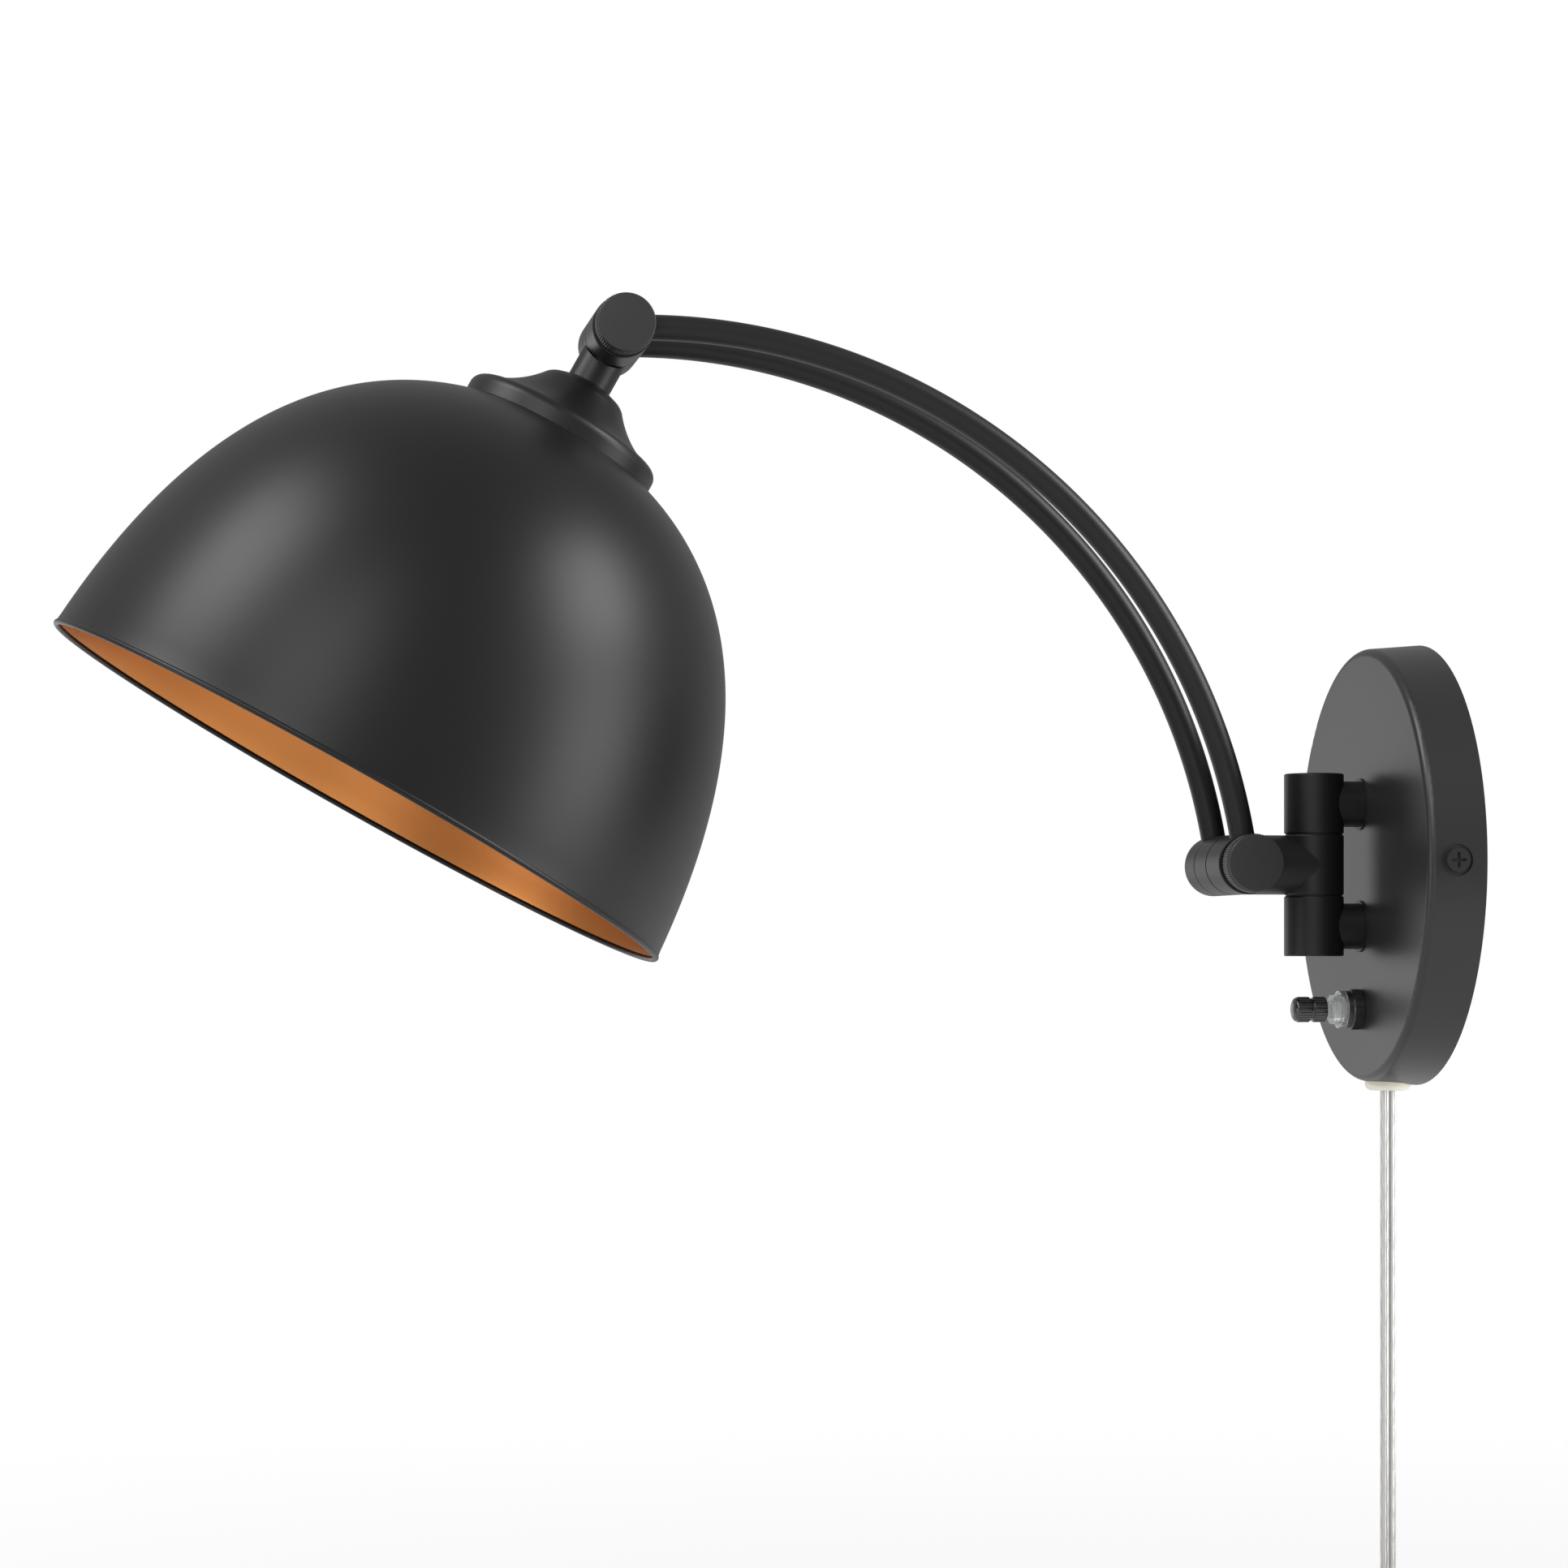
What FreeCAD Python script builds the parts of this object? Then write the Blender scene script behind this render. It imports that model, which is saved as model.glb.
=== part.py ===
import FreeCAD, Part
import math
import os

import Sketcher
from FreeCAD import Placement, Rotation, Vector

# Swing arm wall sconce.  The wall is the plane y = 0, the lamp reaches out along -Y and +Z is up.
# The origin is the centre of the canopy's back, and every length is in millimetres.

DIMENSIONS = {
    "canopy": {
        "canopy_radius": 67.6, "canopy_taper": 1.4, "canopy_depth": 17.2, "canopy_wall": 1.2,
        "canopy_edge_round": 2.4, "dimple_radius": 4.7, "dimple_depth": 0.5,
    },
    "bracket": {
        "strap_end_gap": 4.3, "strap_width": 20.0, "strap_thickness": 1.6, "tab_front_gap": 3.0,
        "side_screw_y": 9.0, "slot_spacing": 84.0, "slot_length": 12.0, "slot_radius": 2.3,
        "side_screw_radius": 2.0, "screw_head_radius": 3.5, "screw_head_height": 2.2,
        "side_screw_length": 9.0, "cross_width": 0.9, "cross_length": 4.4, "cross_depth": 1.1,
        "ground_screw_x": 22.0, "ground_screw_radius": 1.9, "ground_head_height": 2.0,
    },
    "wall hinge": {
        "hinge_reach": 31.9, "knuckle_radius": 9.1, "knuckle_height": 18.4, "knuckle_gap": 0.35,
        "knuckle_round": 0.5, "stub_radius": 7.0, "stub_washer_radius": 7.9,
        "stub_washer_thickness": 0.6, "tail_radius": 5.0, "tail_bore_radius": 3.0,
        "lock_washer_radius": 8.4, "lock_washer_thickness": 1.0, "nut_flats": 14.0,
        "nut_height": 3.2, "tail_spare": 1.2, "pin_radius": 3.5, "pin_depth": 14.0,
        "fit_clearance": 0.05, "hole_clearance": 0.15,
    },
    "arm": {
        "arm_reach": 57.0, "elbow_reach": 246.8, "elbow_height": 157.3, "arc_radius": 181.0,
        "tube_radius": 3.8, "tube_bore_radius": 3.0, "tube_front_x": 12.9, "tube_rear_x": 19.6,
        "lead_radius": 2.3, "barrel_radius": 9.25, "barrel_front_x": 15.6, "barrel_rear_x": 24.6,
        "lower_seam_x": 0.5, "lower_eye_width": 12.8, "upper_seam_x": -3.4, "upper_eye_width": 6.6,
        "friction_washer_thickness": 0.5, "friction_washer_radius": 8.6, "eye_clearance": 0.4,
        "barrel_chamfer": 0.4,
    },
    "clamp knobs": {
        "knob_radius": 8.85, "knob_back_x": 17.6, "knob_face_x": 24.6, "knurl_length": 5.4,
        "knurl_depth": 0.32, "knurl_count": 60, "face_radius": 8.55, "face_round": 0.35,
        "knob_neck_radius": 7.2, "bolt_radius": 3.0, "bolt_head_radius": 5.4,
        "bolt_head_height": 3.6, "bolt_head_recess": 0.6, "bolt_end_gap": 2.6,
        "bolt_key_flats": 4.0, "bolt_key_depth": 2.2,
    },
    "shade": {
        "shade_tilt": 29.2, "shade_radius": 101.3, "shade_height": 125.8, "shade_wall": 0.9,
        "rim_flare": 3.4, "side_fullness": 82.9, "crown_fullness": 60.2,
        "rim_bead_radius": 0.9, "pivot_to_rim": 157.8, "stem_radius": 6.85, "collar_radius": 31.1,
        "collar_height": 6.6, "collar_round": 3.2, "bell_foot_radius": 27.5, "bell_waist_radius": 13.6,
        "bell_waist_height": 10.1, "bell_brow_radius": 10.4, "bell_brow_height": 12.5,
        "bell_seat_radius": 7.3, "bell_height": 13.6, "bell_concave": 1.15, "bell_convex": 0.33,
        "holder_wall": 1.2, "nipple_radius": 5.0, "nipple_bore_radius": 3.4, "nipple_in_stem": 7.0,
        "crown_washer_radius": 9.0, "crown_washer_thickness": 1.0,
    },
    "socket": {
        "socket_cap_radius": 18.0, "socket_cap_height": 22.0, "socket_cap_wall": 1.3,
        "socket_body_radius": 16.6, "socket_body_length": 52.0, "screw_shell_radius": 13.3,
        "screw_shell_wall": 0.7, "screw_shell_length": 30.0, "socket_mouth_inset": 1.5,
        "contact_radius": 3.6, "contact_height": 1.6, "contact_well_radius": 6.0, "socket_joint_gap": 0.1,
    },
    "switch": {
        "switch_edge_distance": 23.3, "switch_body_width": 18.0, "switch_body_depth": 11.5,
        "switch_thread_radius": 4.9, "switch_bore_radius": 2.65, "switch_nut_radius": 6.25,
        "switch_nut_length": 5.2, "switch_nut_ribs": 36, "switch_nut_rib_length": 2.8,
        "rib_depth": 0.22, "collar_step_radius": 5.7, "collar_step_length": 2.0,
        "collar_tip_radius": 4.5, "collar_tip_length": 2.2, "switch_stem_radius": 2.6,
        "switch_stem_gap": 1.8, "switch_stem_seat": 4.0, "switch_knob_radius": 3.9,
        "switch_knob_length": 10.6, "switch_knob_ribs": 24, "switch_band_length": 4.1,
        "switch_groove_length": 0.9, "switch_groove_radius": 3.3,
    },
    "cord": {
        "cord_y": 8.3, "wire_radius": 1.35, "wire_spacing": 2.4, "cord_inside": 7.0,
        "bushing_flange_radius": 7.0, "bushing_flange_height": 1.6, "bushing_neck_radius": 4.7,
        "bushing_lip_radius": 5.5, "bushing_lip_height": 2.0, "bushing_round": 2.0,
        "coil_drop": 262.0, "coil_radius": 28.0, "coil_section_radius": 8.6, "coil_row_offset": 4.2,
        "coil_column_offset": 2.65, "tie_wall": 0.9, "tie_width": 6.0, "tie_gap": 0.25,
        "plug_drop": 312.0, "plug_width": 24.0,
        "plug_thickness": 13.0, "plug_length": 25.0, "plug_round": 2.5, "blade_spacing": 12.7,
        "blade_width": 6.3, "blade_thickness": 1.5, "blade_length": 17.0,
    },
    "canopy wiring": {
        "hookup_radius": 1.0, "connector_radius": 4.6, "connector_tip_radius": 2.6,
        "connector_length": 17.0, "connector_x": 24.0, "connector_edge_distance": 34.6,
        "lead_bend_radius": 5.0, "lead_pair_offset": 1.2, "lead_drop": 4.5, "lead_end_y": 12.0,
    },
}

doc = FreeCAD.newDocument("SwingArmSconce")
sheet = doc.addObject("Spreadsheet::Sheet", "Sizes")


def fill_sheet():
    """Write one heading row for each group, and one named cell for each dimension."""
    row = 1
    for group, cells in DIMENSIONS.items():
        sheet.set(f"A{row}", group)
        row += 1
        for alias, number in cells.items():
            sheet.set(f"A{row}", alias.replace("_", " "))
            sheet.set(f"B{row}", str(number))
            sheet.setAlias(f"B{row}", alias)
            row += 1
    doc.recompute()


fill_sheet()


def size(alias):
    """Return the number that a named cell holds."""
    return float(getattr(sheet, alias))


def linked(text):
    """Turn the aliases in an expression into references to the sheet."""
    words = text.replace("(", " ( ").replace(")", " ) ").replace("*", " * ").replace("/", " / ").split()
    return " ".join(f"Sizes.{word}" if word[0].isalpha() else word for word in words)


def bind(item, **expressions):
    """Bind properties of an object to expressions, such as Radius='tube_radius + wall'."""
    for name, text in expressions.items():
        item.setExpression(name, linked(text))
    return item


TURN_TO = {
    "+Z": Rotation(),
    "-Z": Rotation(Vector(1, 0, 0), 180),
    "+X": Rotation(Vector(0, 1, 0), 90),
    "-X": Rotation(Vector(0, 1, 0), -90),
    "+Y": Rotation(Vector(1, 0, 0), -90),
    "-Y": Rotation(Vector(1, 0, 0), 90),
}


def place(item, base, direction="+Z"):
    """Turn an object's own Z to a direction, and bind its base point to three expressions."""
    item.Placement = Placement(Vector(), TURN_TO[direction])
    for letter, text in zip("xyz", base):
        item.setExpression(f"Placement.Base.{letter}", linked(text))
    return item


def cylinder(name, radius, height, base=("0", "0", "0"), direction="+Z"):
    item = bind(doc.addObject("Part::Cylinder", name), Radius=radius, Height=height)
    return place(item, base, direction)


def box(name, length, width, height, base):
    item = bind(doc.addObject("Part::Box", name), Length=length, Width=width, Height=height)
    return place(item, base)


def fuse(name, items):
    item = doc.addObject("Part::MultiFuse", name)
    item.Shapes = items
    item.Refine = True
    return item


def cut(name, base, tools):
    item = doc.addObject("Part::Cut", name)
    item.Base = base
    item.Tool = tools[0] if len(tools) == 1 else fuse(name + "_tools", tools)
    item.Refine = True
    return item


def group(name, items):
    """Keep several separate solids as one object, so that they share a node."""
    item = doc.addObject("Part::Compound", name)
    item.Links = items
    return item


def fillet(name, base, radius, chosen):
    """Round the edges that a test picks."""
    doc.recompute()
    item = doc.addObject("Part::Fillet", name)
    item.Base = base
    item.Edges = [
        (number, radius, radius)
        for number, edge in enumerate(base.Shape.Edges, start=1)
        if chosen(edge)
    ]
    return item


def feature(name, shape, placement=None):
    """Hold a shape that neither a body nor a primitive can make."""
    item = doc.addObject("Part::Feature", name)
    item.Shape = shape
    if placement is not None:
        item.Placement = placement
    return item


def is_circle(edge, radius, tolerance=0.01):
    curve = edge.Curve
    return isinstance(curve, Part.Circle) and abs(curve.Radius - radius) < tolerance


def ribbed_prism(radius, depth, count, length):
    """Make a straight knurl: a prism whose outline goes in and out once for each rib."""
    points = []
    for step in range(2 * count):
        reach = radius if step % 2 == 0 else radius - depth
        angle = math.pi * step / count
        points.append(Vector(reach * math.cos(angle), reach * math.sin(angle), 0))
    points.append(points[0])
    return Part.Face(Part.makePolygon(points)).extrude(Vector(0, 0, length))


def hexagon_prism(flats, length):
    """Make a hexagonal prism from the distance across its flats."""
    reach = flats / 2 / math.cos(math.pi / 6)
    corners = [
        Vector(reach * math.cos(math.radians(60 * step)), reach * math.sin(math.radians(60 * step)), 0)
        for step in range(7)
    ]
    return Part.Face(Part.makePolygon(corners)).extrude(Vector(0, 0, length))


def turned_solid(edges):
    """Turn a closed outline in the XZ plane once about the Z axis."""
    outline = Part.Wire(Part.__sortEdges__(edges))
    return Part.Face(outline).revolve(Vector(), Vector(0, 0, 1), 360)


def line(start, end):
    return Part.LineSegment(Vector(start[0], 0, start[1]), Vector(end[0], 0, end[1])).toShape()


def bowed(start, end, bow):
    """Draw an arc between two points, bowed to the left of the way from start to end."""
    chord = Vector(end[0] - start[0], 0, end[1] - start[1])
    left = Vector(-chord.z, 0, chord.x).normalize()
    middle = Vector((start[0] + end[0]) / 2, 0, (start[1] + end[1]) / 2) + left * bow
    return Part.Arc(Vector(start[0], 0, start[1]), middle, Vector(end[0], 0, end[1])).toShape()


NODES = []


def node(item, label):
    """Name a finished sub-part and list it for export."""
    item.Label = label
    NODES.append(item)
    return item


# ---------------------------------------------------------------------------------------------
# Canopy: a turned steel pan with a rounded front edge, pocketed for what passes through it.
# ---------------------------------------------------------------------------------------------


def origin_plane(body, role):
    return next(item for item in body.Origin.OriginFeatures if item.Role == role)


def new_sketch(body, name, role):
    sketch = body.newObject("Sketcher::SketchObject", name)
    sketch.AttachmentSupport = [(origin_plane(body, role), "")]
    sketch.MapMode = "FlatFace"
    return sketch


def outline_sketch(body, name, role, corners):
    """Draw a closed polygon whose corners are held by expressions from the sketch's origin."""
    sketch = new_sketch(body, name, role)
    doc.recompute()
    where = [
        Vector(evaluate(across), evaluate(along), 0)
        for across, along in corners
    ]
    count = len(corners)
    for index in range(count):
        sketch.addGeometry(Part.LineSegment(where[index], where[(index + 1) % count]), False)
    for index in range(count):
        following = (index + 1) % count
        sketch.addConstraint(Sketcher.Constraint("Coincident", index, 2, following, 1))
    for index, (across, along) in enumerate(corners):
        for kind, text in (("DistanceX", across), ("DistanceY", along)):
            number = sketch.addConstraint(Sketcher.Constraint(kind, -1, 1, index, 1, evaluate(text)))
            sketch.setExpression(f"Constraints[{number}]", linked(text))
    return sketch


def circle_sketch(body, name, role, circles):
    """Draw circles whose centres and radii are held by expressions."""
    sketch = new_sketch(body, name, role)
    doc.recompute()
    for index, (across, along, radius) in enumerate(circles):
        centre = Vector(evaluate(across), evaluate(along), 0)
        sketch.addGeometry(Part.Circle(centre, Vector(0, 0, 1), evaluate(radius)), False)
        pairs = (("DistanceX", across), ("DistanceY", along))
        for kind, text in pairs:
            number = sketch.addConstraint(Sketcher.Constraint(kind, -1, 1, index, 3, evaluate(text)))
            sketch.setExpression(f"Constraints[{number}]", linked(text))
        number = sketch.addConstraint(Sketcher.Constraint("Radius", index, evaluate(radius)))
        sketch.setExpression(f"Constraints[{number}]", linked(radius))
    return sketch


def evaluate(text):
    """Work out an expression of aliases, as the document would."""
    return float(sheet.evalExpression(linked(text)))


def pocket(body, name, sketch, length=None):
    """Cut a sketch right through a body, or to a depth, and make sure that it removed something."""
    before = body.Shape.Volume
    item = body.newObject("PartDesign::Pocket", name)
    item.Profile = sketch
    if length is None:
        item.Type = "ThroughAll"
        item.Midplane = True
    else:
        item.Type = "Length"
        item.setExpression("Length", linked(length))
    doc.recompute()
    if body.Shape.Volume > before - 0.01:
        raise RuntimeError(f"{name} removed nothing")
    return item


def round_edges(body, name, base, edge_radius, round_radius):
    """Fillet the circular edges of one radius in a body."""
    item = body.newObject("PartDesign::Fillet", name)
    names = [
        f"Edge{number}"
        for number, edge in enumerate(base.Shape.Edges, start=1)
        if is_circle(edge, evaluate(edge_radius))
    ]
    item.Base = (base, names)
    item.setExpression("Radius", linked(round_radius))
    doc.recompute()
    return item


SWITCH_Z = "switch_edge_distance - canopy_radius"


def make_canopy():
    body = doc.addObject("PartDesign::Body", "canopy_body")
    front_radius = "canopy_radius - canopy_taper"
    corners = [
        ("0", "0 - canopy_depth"),
        (front_radius, "0 - canopy_depth"),
        ("canopy_radius", "0"),
        ("canopy_radius - canopy_wall", "0"),
        ("canopy_radius - canopy_taper - canopy_wall", "canopy_wall - canopy_depth"),
        ("0", "canopy_wall - canopy_depth"),
    ]
    section = outline_sketch(body, "canopy_section", "XY_Plane", corners)
    turned = body.newObject("PartDesign::Revolution", "canopy_pan")
    turned.Profile = section
    turned.ReferenceAxis = (section, ["V_Axis"])
    turned.Angle = 360
    doc.recompute()
    round_edges(body, "canopy_front_round", turned, front_radius, "canopy_edge_round")
    inner_radius = "canopy_radius - canopy_taper - canopy_wall"
    round_edges(body, "canopy_inner_round", body.Tip, inner_radius, "canopy_edge_round - canopy_wall")

    stub_height = "knuckle_height + knuckle_gap"
    hole = "tail_radius + hole_clearance"
    face_circles = [
        ("0", stub_height, hole),
        ("0", "0 - knuckle_height - knuckle_gap", hole),
        ("0", SWITCH_Z, "switch_thread_radius + hole_clearance"),
    ]
    pocket(body, "face_holes", circle_sketch(body, "face_hole_circles", "XZ_Plane", face_circles))
    side_circle = [("0 - side_screw_y", "0", "side_screw_radius + hole_clearance")]
    pocket(body, "side_holes", circle_sketch(body, "side_hole_circle", "YZ_Plane", side_circle))
    cord_circle = [("0", "0 - cord_y", "bushing_neck_radius + hole_clearance")]
    cord_sketch = circle_sketch(body, "cord_hole_circle", "XY_Plane", cord_circle)
    pocket(body, "cord_hole", cord_sketch, length="canopy_radius + canopy_wall")

    # A shallow dimple round each side screw keeps its head close to the pan.
    floor_x = "canopy_radius - canopy_taper * side_screw_y / canopy_depth - dimple_depth"
    dimples = [
        cylinder("dimple_near", "dimple_radius", "canopy_wall * 3", (floor_x, "0 - side_screw_y", "0"), "+X"),
        cylinder(
            "dimple_far", "dimple_radius", "canopy_wall * 3",
            ("0 - ( " + floor_x + " )", "0 - side_screw_y", "0"), "-X",
        ),
    ]
    node(cut("canopy_finished", body, dimples), "canopy")


make_canopy()

# ---------------------------------------------------------------------------------------------
# Mounting bracket: a strap against the wall whose bent ends take the canopy's side screws.
# ---------------------------------------------------------------------------------------------


def make_bracket():
    body = doc.addObject("PartDesign::Body", "bracket_body")
    end = "canopy_radius - canopy_taper - canopy_wall - strap_end_gap"
    inner_end = f"{end} - strap_thickness"
    tab = "canopy_wall + tab_front_gap - canopy_depth"
    corners = [
        (f"0 - ( {end} )", "0"),
        (end, "0"),
        (end, tab),
        (inner_end, tab),
        (inner_end, "0 - strap_thickness"),
        (f"0 - ( {inner_end} )", "0 - strap_thickness"),
        (f"0 - ( {inner_end} )", tab),
        (f"0 - ( {end} )", tab),
    ]
    section = outline_sketch(body, "bracket_section", "XY_Plane", corners)
    pad = body.newObject("PartDesign::Pad", "bracket_strap")
    pad.Profile = section
    pad.Midplane = True
    pad.setExpression("Length", linked("strap_width"))
    doc.recompute()
    tapped = [("0 - side_screw_y", "0", "side_screw_radius")]
    pocket(body, "tapped_ends", circle_sketch(body, "tapped_circle", "YZ_Plane", tapped))
    slots = []
    for side in ("slot_spacing / 2", "0 - slot_spacing / 2"):
        reach = "( slot_length / 2 - slot_radius )"
        for number, centre in enumerate((f"{side} - {reach}", f"{side} + {reach}")):
            name = f"slot_end_{len(slots)}_{number}"
            base = (centre, "strap_thickness", "0")
            slots.append(cylinder(name, "slot_radius", "strap_thickness * 3", base, "-Y"))
        middle = box(
            f"slot_middle_{len(slots)}", "slot_length - 2 * slot_radius", "strap_thickness * 3",
            "2 * slot_radius", (f"{side} - {reach}", "0 - 2 * strap_thickness", "0 - slot_radius"),
        )
        slots.append(middle)
    base = ("ground_screw_x", "strap_thickness", "0")
    slots.append(cylinder("ground_tap", "ground_screw_radius", "strap_thickness * 3", base, "-Y"))
    node(cut("bracket_finished", body, slots), "mounting_bracket")


make_bracket()


def pan_head_screw(name, seat, direction, shank_radius, shank_length, head_height):
    """Make a cross-recessed screw whose head stands on a seat and whose shank goes the other way."""
    opposite = {"+X": "-X", "-X": "+X", "-Y": "+Y"}[direction]
    head = cylinder(name + "_head", "screw_head_radius", head_height, seat, direction)
    shank = cylinder(name + "_shank", shank_radius, shank_length, seat, opposite)
    axis = "XYZ".index(direction[1])
    sign = "+" if direction[0] == "+" else "-"
    blades = []
    for across in (index for index in range(3) if index != axis):
        spans = ["cross_width"] * 3
        spans[axis] = "cross_depth * 2"
        spans[across] = "cross_length"
        corner = [f"{seat[index]} - {spans[index]} / 2" for index in range(3)]
        corner[axis] = f"{seat[axis]} {sign} {head_height} - cross_depth"
        blades.append(box(f"{name}_cross_{across}", *spans, corner))
    return cut(name, fuse(name + "_blank", [head, shank]), blades)


def make_screws():
    seat_x = "canopy_radius - canopy_taper * side_screw_y / canopy_depth - dimple_depth"
    near = pan_head_screw(
        "side_screw_near", (seat_x, "0 - side_screw_y", "0"), "+X",
        "side_screw_radius", "side_screw_length", "screw_head_height",
    )
    far = pan_head_screw(
        "side_screw_far", ("0 - ( " + seat_x + " )", "0 - side_screw_y", "0"), "-X",
        "side_screw_radius", "side_screw_length", "screw_head_height",
    )
    node(group("side_screw_pair", [near, far]), "side_screws")
    ground = pan_head_screw(
        "ground_screw_solid", ("ground_screw_x", "0 - strap_thickness", "0"), "-Y",
        "ground_screw_radius", "strap_thickness", "ground_head_height",
    )
    node(ground, "ground_screw")


make_screws()

# ---------------------------------------------------------------------------------------------
# Wall hinge: two knuckles on stubs through the canopy, and a pin that carries the T-fitting.
# ---------------------------------------------------------------------------------------------


def ring(name, outer, inner, thickness, base, direction):
    disc = cylinder(name + "_disc", outer, thickness, base, direction)
    middle = cylinder(name + "_hole", inner, thickness, base, direction)
    return cut(name, disc, [middle])


def make_knuckle(label, level, inner_end, outwards):
    """Make a knuckle at a level, with its stub, its threaded tail and a blind seat for the pin."""
    barrel = cylinder(label + "_barrel", "knuckle_radius", "knuckle_height",
                      ("0", "0 - hinge_reach", f"{level} - knuckle_height / 2"))
    rounded = fillet(label + "_rounded", barrel, size("knuckle_round"),
                     lambda edge: is_circle(edge, size("knuckle_radius")))
    axis_base = ("0", "0 - hinge_reach", level)
    stub = cylinder(label + "_stub", "stub_radius",
                    "hinge_reach - canopy_depth - stub_washer_thickness", axis_base, "+Y")
    tail_reach = "canopy_wall + lock_washer_thickness + nut_height + tail_spare"
    tail = cylinder(label + "_tail", "tail_radius",
                    f"hinge_reach - canopy_depth + {tail_reach}", axis_base, "+Y")
    blank = fuse(label + "_blank", [rounded, stub, tail])
    seat = cylinder(label + "_pin_seat", "pin_radius", "pin_depth",
                    ("0", "0 - hinge_reach", inner_end), outwards)
    bore = cylinder(label + "_wire_bore", "tail_bore_radius", "hinge_reach",
                    ("0", "pin_radius + knuckle_gap - hinge_reach", level), "+Y")
    node(cut(label + "_finished", blank, [seat, bore]), label)


def make_wall_hinge():
    levels = {
        "upper": "knuckle_height + knuckle_gap",
        "lower": "0 - knuckle_height - knuckle_gap",
    }
    make_knuckle("knuckle_upper", levels["upper"], "knuckle_height / 2 + knuckle_gap", "+Z")
    make_knuckle("knuckle_lower", levels["lower"], "0 - knuckle_height / 2 - knuckle_gap", "-Z")
    outside, locks, nuts = [], [], []
    for name, level in levels.items():
        outside.append(ring(f"stub_washer_{name}", "stub_washer_radius", "tail_radius",
                            "stub_washer_thickness", ("0", "0 - canopy_depth", level), "-Y"))
        locks.append(ring(f"lock_washer_{name}", "lock_washer_radius", "tail_radius",
                          "lock_washer_thickness", ("0", "canopy_wall - canopy_depth", level), "+Y"))
        nut_y = size("canopy_wall") + size("lock_washer_thickness") - size("canopy_depth")
        spot = Placement(Vector(0, nut_y, evaluate(level)), TURN_TO["+Y"])
        blank = feature(f"mounting_nut_{name}_blank",
                        hexagon_prism(size("nut_flats"), size("nut_height")), spot)
        base = ("0", "canopy_wall + lock_washer_thickness - canopy_depth", level)
        nuts.append(cut(f"mounting_nut_{name}", blank,
                        [cylinder(f"mounting_nut_{name}_thread", "tail_radius", "nut_height", base, "+Y")]))
    node(group("stub_washer_pair", outside), "stub_washers")
    node(group("lock_washer_pair", locks), "lock_washers")
    node(group("mounting_nut_pair", nuts), "mounting_nuts")
    pin_length = "knuckle_height + 2 * knuckle_gap + 2 * pin_depth"
    node(cylinder("hinge_pin_solid", "pin_radius", pin_length,
                  ("0", "0 - hinge_reach", "0 - knuckle_height / 2 - knuckle_gap - pin_depth")), "hinge_pin")
    glides = [
        ring("swivel_washer_upper", "knuckle_radius - knuckle_round", "pin_radius", "knuckle_gap",
             ("0", "0 - hinge_reach", "knuckle_height / 2"), "+Z"),
        ring("swivel_washer_lower", "knuckle_radius - knuckle_round", "pin_radius", "knuckle_gap",
             ("0", "0 - hinge_reach", "0 - knuckle_height / 2"), "-Z"),
    ]
    node(group("swivel_washer_pair", glides), "swivel_washers")


make_wall_hinge()

# ---------------------------------------------------------------------------------------------
# Stations along the two cross pivots, from the clamp knob's face (+X) to the rear end (-X).
# ---------------------------------------------------------------------------------------------

LOWER_EYE_FRONT = "lower_seam_x - friction_washer_thickness"
LOWER_EYE_REAR = LOWER_EYE_FRONT + " - lower_eye_width"
UPPER_EYE_FRONT = "upper_seam_x - friction_washer_thickness"
UPPER_EYE_REAR = UPPER_EYE_FRONT + " - upper_eye_width"
LOWER_PIVOT = ("0 - arm_reach", "0")
UPPER_PIVOT = ("0 - elbow_reach", "elbow_height")
FAR = "4 * barrel_rear_x"


def make_t_fitting():
    """Make the swivelling T: a knuckle on the pin, an arm outwards and an eye on the lower pivot."""
    knuckle = cylinder("t_knuckle", "knuckle_radius", "knuckle_height",
                       ("0", "0 - hinge_reach", "0 - knuckle_height / 2"))
    rounded = fillet("t_knuckle_rounded", knuckle, size("knuckle_round"),
                     lambda edge: is_circle(edge, size("knuckle_radius")))
    arm = cylinder("t_arm", "knuckle_radius", "arm_reach - hinge_reach", ("0", "0 - hinge_reach", "0"), "-Y")
    y, z = LOWER_PIVOT
    relief = "barrel_radius + eye_clearance"
    front = cylinder("t_front_relief", relief, FAR, (LOWER_EYE_FRONT, y, z), "+X")
    rear = cylinder("t_rear_relief", relief, FAR, (LOWER_EYE_REAR, y, z), "-X")
    trimmed = cut("t_arm_trimmed", arm, [front, rear])
    eye = cylinder("t_eye", "barrel_radius", "lower_eye_width", (LOWER_EYE_REAR, y, z), "+X")
    blank = fuse("t_blank", [rounded, trimmed, eye])
    bolt_bore = cylinder("t_bolt_bore", "bolt_radius + fit_clearance", FAR,
                         ("0 - 2 * barrel_rear_x", y, z), "+X")
    pin_bore = cylinder("t_pin_bore", "pin_radius + fit_clearance", "2 * knuckle_height",
                        ("0", "0 - hinge_reach", "0 - knuckle_height"))
    node(cut("t_finished", blank, [bolt_bore, pin_bore]), "t_fitting")


make_t_fitting()

# ---------------------------------------------------------------------------------------------
# Arm: two bowed tubes side by side, welded to a pair of barrels at each end.
# ---------------------------------------------------------------------------------------------


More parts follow.
